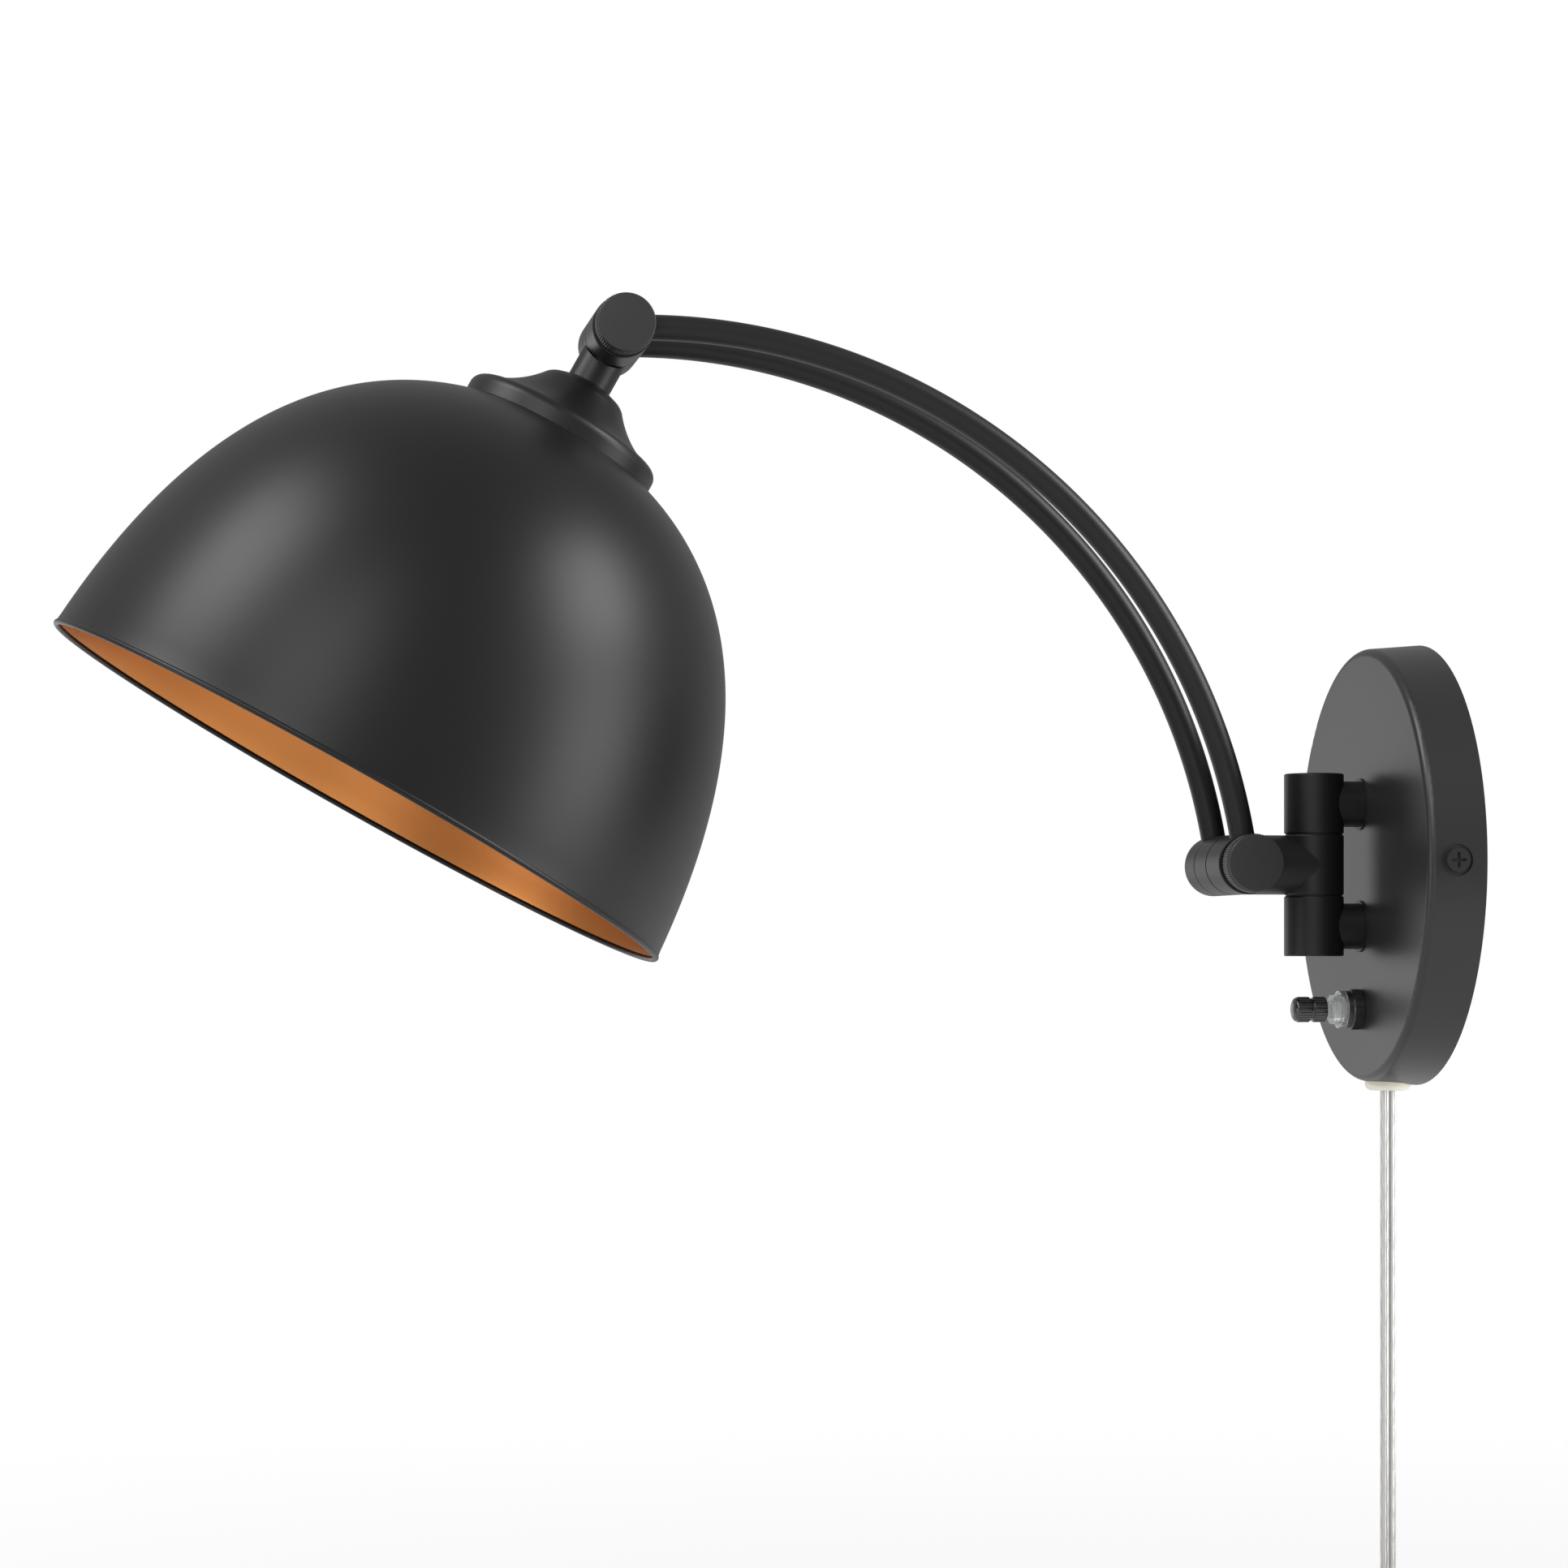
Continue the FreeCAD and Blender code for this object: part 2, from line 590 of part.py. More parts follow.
def make_barrel(label, start, end, pivot, with_head=False):
    """Make one barrel of a pivot between two stations along X, bored for the clamp bolt."""
    y, z = pivot
    length = f"{end} - ( {start} )"
    blank = cylinder(label + "_blank", "barrel_radius", length, (start, y, z), "+X")
    rounded = fillet(label + "_rounded", blank, size("barrel_chamfer"),
                     lambda edge: is_circle(edge, size("barrel_radius")))
    tools = [cylinder(label + "_bore", "bolt_radius + fit_clearance", FAR,
                      ("0 - 2 * barrel_rear_x", y, z), "+X")]
    if with_head:
        tools.append(cylinder(label + "_head_seat", "bolt_head_radius + fit_clearance",
                              "bolt_head_height + bolt_head_recess", (start, y, z), "+X"))
    node(cut(label + "_finished", rounded, tools), label)


def make_barrels():
    rear = "0 - barrel_rear_x"
    make_barrel("lower_barrel_front", "lower_seam_x", "barrel_front_x", LOWER_PIVOT)
    make_barrel("lower_barrel_rear", rear, f"{LOWER_EYE_REAR} - friction_washer_thickness",
                LOWER_PIVOT, with_head=True)
    make_barrel("upper_barrel_front", "upper_seam_x", "barrel_front_x", UPPER_PIVOT)
    make_barrel("upper_barrel_rear", rear, f"{UPPER_EYE_REAR} - friction_washer_thickness",
                UPPER_PIVOT, with_head=True)


make_barrels()


def arc_frame():
    """Find the centre and the end angles of the circle through both pivots."""
    lower = Vector(0, evaluate(LOWER_PIVOT[0]), evaluate(LOWER_PIVOT[1]))
    upper = Vector(0, evaluate(UPPER_PIVOT[0]), evaluate(UPPER_PIVOT[1]))
    chord = upper - lower
    inward = Vector(0, -chord.z, chord.y).normalize()
    depth = math.sqrt(size("arc_radius") ** 2 - (chord.Length / 2) ** 2)
    centre = (lower + upper) / 2 + inward * depth
    start = math.atan2(lower.z - centre.z, lower.y - centre.y)
    end = math.atan2(upper.z - centre.z, upper.y - centre.y)
    return centre, start, end


def bowed_rod(across, radius):
    """Sweep a round section along the arc between the pivots, at one place across the arm."""
    centre, start, end = arc_frame()
    bend = size("arc_radius")

    def at(angle):
        return Vector(across, centre.y + bend * math.cos(angle), centre.z + bend * math.sin(angle))

    path = Part.Wire([Part.Arc(at(start), at((start + end) / 2), at(end)).toShape()])
    heading = Vector(0, -math.sin(start), math.cos(start))
    section = Part.Wire([Part.Circle(at(start), heading, radius).toShape()])
    return path.makePipeShell([section], True, True)


def make_tube(label, across):
    """Make a tube between the barrels, saddled to both."""
    outer = feature(label + "_rod", bowed_rod(across, size("tube_radius")))
    saddles = [
        cylinder(f"{label}_{name}_saddle", "barrel_radius", FAR, ("0 - 2 * barrel_rear_x", y, z), "+X")
        for name, (y, z) in (("lower", LOWER_PIVOT), ("upper", UPPER_PIVOT))
    ]
    bore = feature(label + "_bore", bowed_rod(across, size("tube_bore_radius")))
    node(cut(label + "_finished", outer, saddles + [bore]), label)


make_tube("tube_front", size("tube_front_x"))
make_tube("tube_rear", -size("tube_rear_x"))


def make_arm_lead():
    """Lay the lamp's jacketed lead through the rear tube."""
    rod = feature("arm_lead_rod", bowed_rod(-size("tube_rear_x"), size("lead_radius")))
    ends = [
        cylinder(f"arm_lead_{name}_end", "barrel_radius", FAR, ("0 - 2 * barrel_rear_x", y, z), "+X")
        for name, (y, z) in (("lower", LOWER_PIVOT), ("upper", UPPER_PIVOT))
    ]
    node(cut("arm_lead_finished", rod, ends), "arm_lead")


make_arm_lead()


def make_friction_washers():
    for name, (y, z), front, rear in (
        ("lower", LOWER_PIVOT, LOWER_EYE_FRONT, LOWER_EYE_REAR),
        ("upper", UPPER_PIVOT, UPPER_EYE_FRONT, UPPER_EYE_REAR),
    ):
        pair = [
            ring(f"{name}_washer_front", "friction_washer_radius", "bolt_radius + fit_clearance",
                 "friction_washer_thickness", (front, y, z), "+X"),
            ring(f"{name}_washer_rear", "friction_washer_radius", "bolt_radius + fit_clearance",
                 "friction_washer_thickness", (rear, y, z), "-X"),
            ring(f"{name}_washer_knob", "knob_neck_radius", "bolt_radius + fit_clearance",
                 "friction_washer_thickness", ("barrel_front_x", y, z), "+X"),
        ]
        node(group(f"{name}_washer_set", pair), f"{name}_friction_washers")


make_friction_washers()


def make_bolt(label, pivot):
    """Make a clamp bolt: its head sits in the rear barrel and its end is inside the knob."""
    y, z = pivot
    head_start = "bolt_head_recess - barrel_rear_x"
    head = cylinder(label + "_head", "bolt_head_radius", "bolt_head_height", (head_start, y, z), "+X")
    shank = cylinder(label + "_shank", "bolt_radius",
                     "knob_face_x - bolt_end_gap + barrel_rear_x - bolt_head_recess",
                     (head_start, y, z), "+X")
    key_x = evaluate(head_start)
    key = feature(label + "_key", hexagon_prism(size("bolt_key_flats"), size("bolt_key_depth")),
                  Placement(Vector(key_x, evaluate(y), evaluate(z)), TURN_TO["+X"]))
    node(cut(label + "_finished", fuse(label + "_blank", [head, shank]), [key]), label)


make_bolt("lower_clamp_bolt", LOWER_PIVOT)
make_bolt("upper_clamp_bolt", UPPER_PIVOT)


def make_knob(label, pivot):
    """Make a clamp knob: a neck, a straight-knurled rim and a flat face, threaded for the bolt."""
    y, z = pivot
    neck_start = "barrel_front_x + friction_washer_thickness"
    neck = cylinder(label + "_neck", "knob_neck_radius", f"knob_back_x - ( {neck_start} )",
                    (neck_start, y, z), "+X")
    rim = feature(label + "_rim",
                  ribbed_prism(size("knob_radius"), size("knurl_depth"), int(size("knurl_count")),
                               size("knurl_length")),
                  Placement(Vector(size("knob_back_x"), evaluate(y), evaluate(z)), TURN_TO["+X"]))
    disc = cylinder(label + "_disc", "face_radius", "knob_face_x - knob_back_x",
                    ("knob_back_x", y, z), "+X")
    rounded = fillet(label + "_disc_rounded", disc, size("face_round"),
                     lambda edge: is_circle(edge, size("face_radius")) and
                     edge.CenterOfMass.x > size("knob_face_x") - 0.01)
    bore_depth = f"knob_face_x - bolt_end_gap / 2 - ( {neck_start} )"
    bore = cylinder(label + "_thread", "bolt_radius + fit_clearance", bore_depth, (neck_start, y, z), "+X")
    node(cut(label + "_finished", fuse(label + "_blank", [neck, rim, rounded]), [bore]), label)


make_knob("lower_clamp_knob", LOWER_PIVOT)
make_knob("upper_clamp_knob", UPPER_PIVOT)

# ---------------------------------------------------------------------------------------------
# Shade assembly.  It is built hanging straight down from the upper pivot and then tilted.
# Heights are counted upwards from the rim.
# ---------------------------------------------------------------------------------------------


def hang(item, across="0"):
    """Place a piece of the shade assembly at the upper pivot, tilted outwards."""
    spot = Vector(evaluate(across), evaluate(UPPER_PIVOT[0]), evaluate(UPPER_PIVOT[1]))
    item.Placement = Placement(spot, Rotation(Vector(1, 0, 0), -size("shade_tilt")))
    return item


STEM_X = UPPER_EYE_FRONT + " - upper_eye_width / 2"


def dome_curve(inset):
    """Draw the dome from its rim up to its crown, flared at the rim and inset by a wall."""
    flare = math.radians(size("rim_flare"))
    reach = size("shade_radius") - inset
    crown = size("shade_height") - inset
    # A handle of a round corner shrinks by this share of the inset.
    shrink = 0.55 * inset
    side = size("side_fullness") - shrink
    curve = Part.BezierCurve()
    curve.setPoles([
        Vector(reach, 0, 0),
        Vector(reach - side * math.sin(flare), 0, side * math.cos(flare)),
        Vector(size("crown_fullness") - shrink, 0, crown),
        Vector(0, 0, crown),
    ])
    return curve


def dome_share(curve, reach):
    """Find how far along the dome's curve a distance from its axis lies."""
    low, high = 0.0, 1.0
    for _ in range(50):
        middle = (low + high) / 2
        low, high = (middle, high) if curve.value(middle).x > reach else (low, middle)
    return high


def dome_level(inset, reach):
    """Find the level under the pivot of the dome's surface at a distance from its axis."""
    curve = dome_curve(inset)
    return curve.value(dome_share(curve, reach)).z - size("pivot_to_rim")


def dome_arc(inset, reach):
    """Draw the dome's curve from the rim up to a distance from its axis, and give its ends."""
    curve = dome_curve(inset)
    curve.segment(0.0, dome_share(curve, reach))
    arc = curve.toShape()
    arc.translate(Vector(0, 0, -size("pivot_to_rim")))
    ends = [vertex.Point for vertex in arc.Vertexes]
    return arc, min(ends, key=lambda end: end.z), max(ends, key=lambda end: end.z)


def make_shade():
    """Make the spun dome with its crown hole and rolled rim."""
    reach = size("nipple_radius") + size("hole_clearance")
    outer, outer_rim, outer_top = dome_arc(0, reach)
    inner, inner_rim, inner_top = dome_arc(size("shade_wall"), reach)
    rim = line((inner_rim.x, inner_rim.z), (outer_rim.x, outer_rim.z))
    hole = line((outer_top.x, outer_top.z), (inner_top.x, inner_top.z))
    dome = feature("shade_dome", turned_solid([outer, hole, inner, rim]))
    bead = bind(doc.addObject("Part::Torus", "shade_bead"),
                Radius1="shade_radius - shade_wall / 2", Radius2="rim_bead_radius")
    place(bead, ("0", "0", "rim_bead_radius - pivot_to_rim"))
    node(hang(fuse("shade_shell", [dome, bead]), STEM_X), "shade")


make_shade()


def holder_outline(inset):
    """List the holder's outline from the foot of its collar to the stem, inset by a wall."""
    base = dome_level(0, size("collar_radius"))
    top = base + size("collar_height") - inset
    outer = size("collar_radius") - inset
    corner = max(size("collar_round") - inset, 0.2)
    foot = (size("bell_foot_radius") - inset, top)
    waist = (size("bell_waist_radius") - inset, top + size("bell_waist_height"))
    brow = (size("bell_brow_radius") - inset, top + size("bell_brow_height"))
    seat = (size("bell_seat_radius") - inset / 2, top + size("bell_height"))
    hole = (size("nipple_radius") + size("hole_clearance"), top + size("bell_height"))
    turn = corner * (1 - math.sqrt(0.5))
    corner_arc = Part.Arc(
        Vector(outer, 0, top - corner), Vector(outer - turn, 0, top - turn), Vector(outer - corner, 0, top)
    ).toShape()
    edges = [
        line((outer, base), (outer, top - corner)),
        corner_arc,
        line((outer - corner, top), foot),
        bowed(foot, waist, size("bell_concave")),
        bowed(waist, brow, -size("bell_convex")),
        line(brow, seat),
        line(seat, hole),
    ]
    return edges, (outer, base), hole


def make_holder():
    """Make the bell-shaped holder that clamps the crown of the dome."""
    outside, outer_foot, outer_top = holder_outline(0)
    inside, inner_foot, inner_top = holder_outline(size("holder_wall"))
    closed = outside + inside + [line(outer_foot, inner_foot), line(outer_top, inner_top)]
    shell = feature("holder_shell", turned_solid(closed))
    # The foot of the collar is scribed to the dome that it stands on.
    arc, rim, crown = dome_arc(0, 0.0)
    floor = line((0, rim.z), (rim.x, rim.z))
    scribe = feature("holder_scribe", turned_solid([floor, arc, line((0, crown.z), (0, rim.z))]))
    node(hang(cut("holder_scribed", shell, [scribe]), STEM_X), "shade_holder")


make_holder()


def holder_top():
    """Give the level of the holder's top under the pivot, where the stem stands."""
    return dome_level(0, size("collar_radius")) + size("collar_height") + size("bell_height")


def make_stem():
    """Make the stem: a round shank with a narrower eye between the upper barrels."""
    top = holder_top()
    shank = cylinder("stem_shank", "stem_radius", f"0 - {top}", (STEM_X, "0", "0"), "-Z")
    relief = "barrel_radius + eye_clearance"
    front = cylinder("stem_front_relief", relief, FAR, (UPPER_EYE_FRONT, "0", "0"), "+X")
    rear = cylinder("stem_rear_relief", relief, FAR, (UPPER_EYE_REAR, "0", "0"), "-X")
    trimmed = cut("stem_trimmed", shank, [front, rear])
    eye = cylinder("stem_eye", "barrel_radius", "upper_eye_width", (UPPER_EYE_REAR, "0", "0"), "+X")
    bolt_bore = cylinder("stem_bolt_bore", "bolt_radius + fit_clearance", FAR,
                         ("0 - 2 * barrel_rear_x", "0", "0"), "+X")
    seat = cylinder("stem_nipple_seat", "nipple_radius", "nipple_in_stem", (STEM_X, "0", f"{top}"), "+Z")
    blank = fuse("stem_blank", [trimmed, eye])
    node(hang(cut("stem_finished", blank, [bolt_bore, seat])), "shade_stem")


make_stem()


def solid_tube(outer, inner, low, high):
    """Make a plain tube about the assembly's axis between two levels."""
    tube = Part.makeCylinder(outer, high - low, Vector(0, 0, low))
    if inner > 0:
        tube = tube.cut(Part.makeCylinder(inner, high - low, Vector(0, 0, low)))
    return tube


def make_socket():
    """Make the lampholder: nipple, washer and nut under the crown, cap, body, shell and contact."""
    gap = size("socket_joint_gap")
    seat = dome_level(size("shade_wall"), size("crown_washer_radius"))
    washer_low = seat - size("crown_washer_thickness")
    nut_low = washer_low - size("nut_height")
    cap_low = nut_low - size("socket_cap_height")
    cap_roof = nut_low - size("socket_cap_wall")
    body_top = cap_roof - gap
    body_low = body_top - size("socket_body_length")
    nipple_low = cap_roof - size("fit_clearance")
    shell_low = body_low + size("socket_mouth_inset")
    shell_top = shell_low + size("screw_shell_length")
    shell_outer = size("screw_shell_radius") + size("screw_shell_wall")

    nut = hexagon_prism(size("nut_flats"), size("nut_height"))
    nut.translate(Vector(0, 0, nut_low))
    nut = nut.cut(Part.makeCylinder(size("nipple_radius"), size("nut_height"), Vector(0, 0, nut_low)))
    nipple_top = holder_top() + size("nipple_in_stem")
    cap = solid_tube(size("socket_cap_radius"), size("nipple_radius"), cap_low, nut_low)
    cap = cap.cut(Part.makeCylinder(size("socket_body_radius") + gap, cap_roof - cap_low, Vector(0, 0, cap_low)))
    body = solid_tube(size("socket_body_radius"), 0, body_low, body_top)
    body = body.cut(Part.makeCylinder(shell_outer, shell_top - body_low, Vector(0, 0, body_low)))
    contact_top = shell_top + size("contact_height")
    body = body.cut(solid_tube(size("contact_well_radius"), 0, shell_top, contact_top))
    pieces = {
        "threaded_nipple": solid_tube(size("nipple_radius"), size("nipple_bore_radius"), nipple_low, nipple_top),
        "crown_washer": solid_tube(size("crown_washer_radius"), size("nipple_radius"), washer_low, seat),
        "crown_nut": nut,
        "socket_cap": cap,
        "socket_body": body,
        "screw_shell": solid_tube(shell_outer, size("screw_shell_radius"), shell_low, shell_top),
        "centre_contact": solid_tube(size("contact_radius"), 0, shell_top, contact_top),
    }
    for label, shape in pieces.items():
        node(hang(feature(label + "_solid", shape), STEM_X), label)


make_socket()

# ---------------------------------------------------------------------------------------------
# Rotary switch in the lower part of the canopy.
# ---------------------------------------------------------------------------------------------

NUT_FRONT = "0 - canopy_depth - switch_nut_length"
STEP_FRONT = NUT_FRONT + " - collar_step_length"
TIP_FRONT = STEP_FRONT + " - collar_tip_length"
KNOB_BACK = TIP_FRONT + " - switch_stem_gap"


def make_switch():
    inside = "canopy_wall - canopy_depth"
    half = "switch_body_width / 2"
    shell = box("switch_case", "switch_body_width", "switch_body_depth", "switch_body_width",
                (f"0 - {half}", inside, f"{SWITCH_Z} - {half}"))
    stem_well = cylinder("switch_well", "switch_bore_radius", "switch_stem_seat",
                         ("0", inside, SWITCH_Z), "+Y")
    node(cut("switch_case_finished", shell, [stem_well]), "switch_body")

    thread = cylinder("bushing_thread", "switch_thread_radius",
                      "canopy_wall + switch_nut_length", ("0", inside, SWITCH_Z), "-Y")
    bore = cylinder("bushing_bore", "switch_bore_radius", "4 * switch_nut_length",
                    ("0", inside, SWITCH_Z), "-Y")
    node(cut("switch_bushing_finished", thread, [bore]), "switch_bushing")

    step = cylinder("collar_step", "collar_step_radius", "collar_step_length",
                    ("0", NUT_FRONT, SWITCH_Z), "-Y")
    tip = cylinder("collar_tip", "collar_tip_radius", "collar_tip_length",
                   ("0", STEP_FRONT, SWITCH_Z), "-Y")
    collar_bore = cylinder("collar_bore", "switch_bore_radius", "4 * switch_nut_length",
                           ("0", NUT_FRONT, SWITCH_Z), "-Y")
    node(cut("switch_collar_finished", fuse("collar_blank", [step, tip]), [collar_bore]), "switch_collar")

    ribs = feature("switch_nut_ribbed",
                   ribbed_prism(size("switch_nut_radius"), size("rib_depth"), int(size("switch_nut_ribs")),
                                size("switch_nut_rib_length")),
                   Placement(Vector(0, -size("canopy_depth"), evaluate(SWITCH_Z)), TURN_TO["-Y"]))
    plain = cylinder("switch_nut_plain", "switch_nut_radius - rib_depth", "switch_nut_length",
                     ("0", "0 - canopy_depth", SWITCH_Z), "-Y")
    thread_cut = cylinder("switch_nut_thread", "switch_thread_radius", "switch_nut_length",
                          ("0", "0 - canopy_depth", SWITCH_Z), "-Y")
    node(cut("switch_nut_finished", fuse("switch_nut_blank", [ribs, plain]), [thread_cut]),
         "switch_ring_nut")


def make_switch_knob():
    """Make the turned part of the switch: a stem, and a domed knob with two ribbed bands."""
    knob_y = evaluate(KNOB_BACK)
    down = TURN_TO["-Y"]
    level = evaluate(SWITCH_Z)
    bands = []
    for number, start in enumerate((0, size("switch_band_length") + size("switch_groove_length"))):
        prism = ribbed_prism(size("switch_knob_radius"), size("rib_depth"), int(size("switch_knob_ribs")),
                             size("switch_band_length"))
        bands.append(feature(f"knob_band_{number}", prism, Placement(Vector(0, knob_y - start, level), down)))
    core = cylinder("knob_core", "switch_groove_radius", "2 * switch_band_length + switch_groove_length",
                    ("0", KNOB_BACK, SWITCH_Z), "-Y")
    tip = size("switch_knob_length") - 2 * size("switch_band_length") - size("switch_groove_length")
    foot = size("switch_knob_radius") - size("rib_depth")
    sphere_radius = (foot ** 2 + tip ** 2) / (2 * tip)
    ball = Part.makeSphere(sphere_radius, Vector(0, 0, tip - sphere_radius))
    dome = ball.common(Part.makeCylinder(foot + 1, 2 * tip))
    front_y = knob_y - size("switch_knob_length") + tip
    dome_item = feature("knob_dome", dome, Placement(Vector(0, front_y, level), down))
    seat = cylinder("knob_stem_seat", "switch_stem_radius", "switch_stem_seat",
                    ("0", KNOB_BACK, SWITCH_Z), "-Y")
    blank = fuse("knob_blank", bands + [core, dome_item])
    node(cut("switch_knob_finished", blank, [seat]), "switch_knob")

    stem_back = "canopy_wall - canopy_depth + switch_stem_seat - fit_clearance"
    stem = cylinder("switch_stem_solid", "switch_stem_radius",
                    f"( {stem_back} ) - ( {KNOB_BACK} ) + switch_stem_seat",
                    ("0", stem_back, SWITCH_Z), "-Y")
    node(stem, "switch_stem")


make_switch()
make_switch_knob()

# ---------------------------------------------------------------------------------------------
# Cord: bushing, straight drop, put-away coil with its tie, and the plug.
# ---------------------------------------------------------------------------------------------


COIL_Y = "0 - cord_y - coil_column_offset"
TAIL_Y = "0 - cord_y - 2 * coil_column_offset"
COIL_X = "coil_radius + coil_row_offset"


def twin_cord(name, outwards, top, bottom, spare=0.0):
    """Make a straight upright stretch of two-wire flat cord between two levels."""
    half = size("wire_spacing") / 2
    wires = [
        Part.makeCylinder(size("wire_radius") + spare, top - bottom,
                          Vector(0, evaluate(outwards) + side, bottom))
        for side in (-half, half)
    ]
    return feature(name, wires[0].fuse(wires[1]).removeSplitter())


def make_cord():
    wall_level = -size("canopy_radius")
    inside = wall_level + size("cord_inside")
    coil_level = -size("coil_drop")
    plug_level = -size("plug_drop")

    coil = bind(doc.addObject("Part::Torus", "coil_ring"), Radius1="coil_radius",
                Radius2="coil_section_radius")
    place(coil, (COIL_X, COIL_Y, "0 - coil_drop"), "-Y")
    node(coil, "cord_coil")

    drop = twin_cord("cord_drop_blank", "0 - cord_y", inside, coil_level)
    node(cut("cord_drop_finished", drop, [coil]), "cord")
    tail = twin_cord("cord_tail_blank", TAIL_Y, coil_level, plug_level)
    node(cut("cord_tail_finished", tail, [coil]), "cord_tail")

    flange = cylinder("bushing_flange", "bushing_flange_radius", "bushing_flange_height + canopy_taper",
                      ("0", "0 - cord_y", "canopy_taper - canopy_radius"), "-Z")
    dome = fillet("bushing_dome", flange, size("bushing_round"),
                  lambda edge: is_circle(edge, size("bushing_flange_radius")) and
                  edge.CenterOfMass.z < wall_level - 1)
    pan = bind(doc.addObject("Part::Cone", "bushing_scribe"), Radius1="canopy_radius",
               Radius2="canopy_radius - canopy_taper", Height="canopy_depth")
    place(pan, ("0", "0", "0"), "-Y")
    scribed = cut("bushing_scribed", dome, [pan])
    neck = cylinder("bushing_neck", "bushing_neck_radius", "cord_inside - bushing_lip_height / 2",
                    ("0", "0 - cord_y", "0 - canopy_radius"), "+Z")
    lip_base = "0 - canopy_radius + canopy_taper + 2 * canopy_wall"
    lip = cylinder("bushing_lip", "bushing_lip_radius", "bushing_lip_height",
                   ("0", "0 - cord_y", lip_base), "+Z")
    bore = twin_cord("bushing_bore_tool", "0 - cord_y", 0, 2 * wall_level, spare=size("hole_clearance"))
    node(cut("bushing_finished", fuse("bushing_blank", [scribed, neck, lip]), [bore]), "cord_bushing")

    band_radius = "coil_section_radius + tie_gap"
    band_base = (f"{COIL_X} - tie_width / 2", COIL_Y, "coil_radius - coil_drop")
    tie = ring("tie_band", f"{band_radius} + tie_wall", band_radius, "tie_width", band_base, "+X")
    node(tie, "cord_tie")


def make_plug():
    """Make a two-blade plug that hangs from the tail of the cord."""
    block = box("plug_block", "plug_thickness", "plug_width", "plug_length",
                ("0 - plug_thickness / 2", f"{TAIL_Y} - plug_width / 2", "0 - plug_drop - plug_length"))
    rounded = fillet("plug_rounded", block, size("plug_round"), lambda edge: True)
    node(rounded, "plug")
    blades = []
    for number, side in enumerate(("0 - blade_spacing / 2", "blade_spacing / 2")):
        base = ("0 - blade_width / 2", f"{TAIL_Y} + {side} - blade_thickness / 2",
                "0 - plug_drop - plug_length - blade_length")
        blades.append(box(f"plug_blade_{number}", "blade_width", "blade_thickness", "blade_length", base))
    node(group("plug_blade_pair", blades), "plug_blades")


make_cord()
make_plug()


def bent_lead(points, bend, radius):
    """Sweep a wire along straight runs joined by arcs that touch both runs."""
    edges = []
    last = points[0]
    for before, corner, after in zip(points, points[1:], points[2:]):
        come = (corner - before).normalize()
        leave = (after - corner).normalize()
        half = come.getAngle(leave) / 2
        trim = bend * math.tan(half)
        start, end = corner - come * trim, corner + leave * trim
        towards = (leave - come).normalize()
        middle = corner + towards * (bend / math.cos(half) - bend)
        edges.append(Part.LineSegment(last, start).toShape())
        edges.append(Part.Arc(start, middle, end).toShape())
        last = end
    edges.append(Part.LineSegment(last, points[-1]).toShape())
    section = Part.Wire([Part.Circle(points[0], (points[1] - points[0]).normalize(), radius).toShape()])
    return Part.Wire(edges).makePipeShell([section], True, True)


def make_canopy_wiring():
    """Lead the cord's two wires, the switch and the arm's lead to the two connectors."""
    radius, bend = size("hookup_radius"), size("lead_bend_radius")
    depth = (size("canopy_wall") - size("canopy_depth")) / 2
    top = size("canopy_radius") - size("connector_edge_distance")
    side, beside = size("connector_x"), size("lead_pair_offset")
    cord_end = -size("canopy_radius") + size("cord_inside")
    switch_level = evaluate(SWITCH_Z)
    case_low = switch_level - size("switch_body_width") / 2
    case_side = size("switch_body_width") / 2
    stub = size("knuckle_height") + size("knuckle_gap")
    near_wire = Vector(0, size("wire_spacing") / 2 - size("cord_y"), cord_end)
    far_wire = Vector(0, -size("wire_spacing") / 2 - size("cord_y"), cord_end)
    leads = [Part.makeCylinder(radius, case_low - cord_end, far_wire)]

    turn_level = cord_end + size("lead_drop")
    neutral = [near_wire, Vector(0, near_wire.y, turn_level), Vector(-side - beside, near_wire.y, turn_level),
               Vector(-side - beside, near_wire.y, top)]
    leads.append(bent_lead(neutral, size("lead_drop") * 0.9, radius))
    live = [Vector(case_side, depth, switch_level), Vector(side + beside, depth, switch_level),
            Vector(side + beside, depth, top)]
    leads.append(bent_lead(live, bend, radius))
    for way in (-1, 1):
        inside_tail = Vector(way * beside, -size("lead_end_y"), stub)
        route = [inside_tail, Vector(way * beside, depth, stub), Vector(way * (side - beside), depth, stub),
                 Vector(way * (side - beside), depth, top)]
        leads.append(bent_lead(route, size("lead_end_y") + depth - size("fit_clearance"), radius))
    node(group("canopy_lead_set", [
        feature(f"canopy_lead_{number}", shape) for number, shape in enumerate(leads)
    ]), "canopy_leads")
    caps = []
    for number, way in enumerate((-1, 1)):
        cone = Part.makeCone(size("connector_radius"), size("connector_tip_radius"), size("connector_length"),
                             Vector(way * side, depth, top))
        caps.append(feature(f"connector_{number}", cone))
    node(group("connector_pair", caps), "wire_connectors")


make_canopy_wiring()

# ---------------------------------------------------------------------------------------------
# Check every object and write one file for each sub-part.
# ---------------------------------------------------------------------------------------------


def check_document():
    doc.recompute()
    for item in doc.Objects:
        if "Invalid" in item.State or "Error" in item.State:
            raise RuntimeError(f"{item.Name} did not recompute: {item.State}")
    for item in NODES:
        if item.Shape.isNull() or not item.Shape.isValid() or not item.Shape.Solids:
            raise RuntimeError(f"{item.Label} has no valid solid")


check_document()
os.makedirs("parts", exist_ok=True)
for item in NODES:
    item.Shape.exportStep(f"parts/{item.Label}.step")
    print(item.Label, len(item.Shape.Solids), round(item.Shape.Volume, 1))
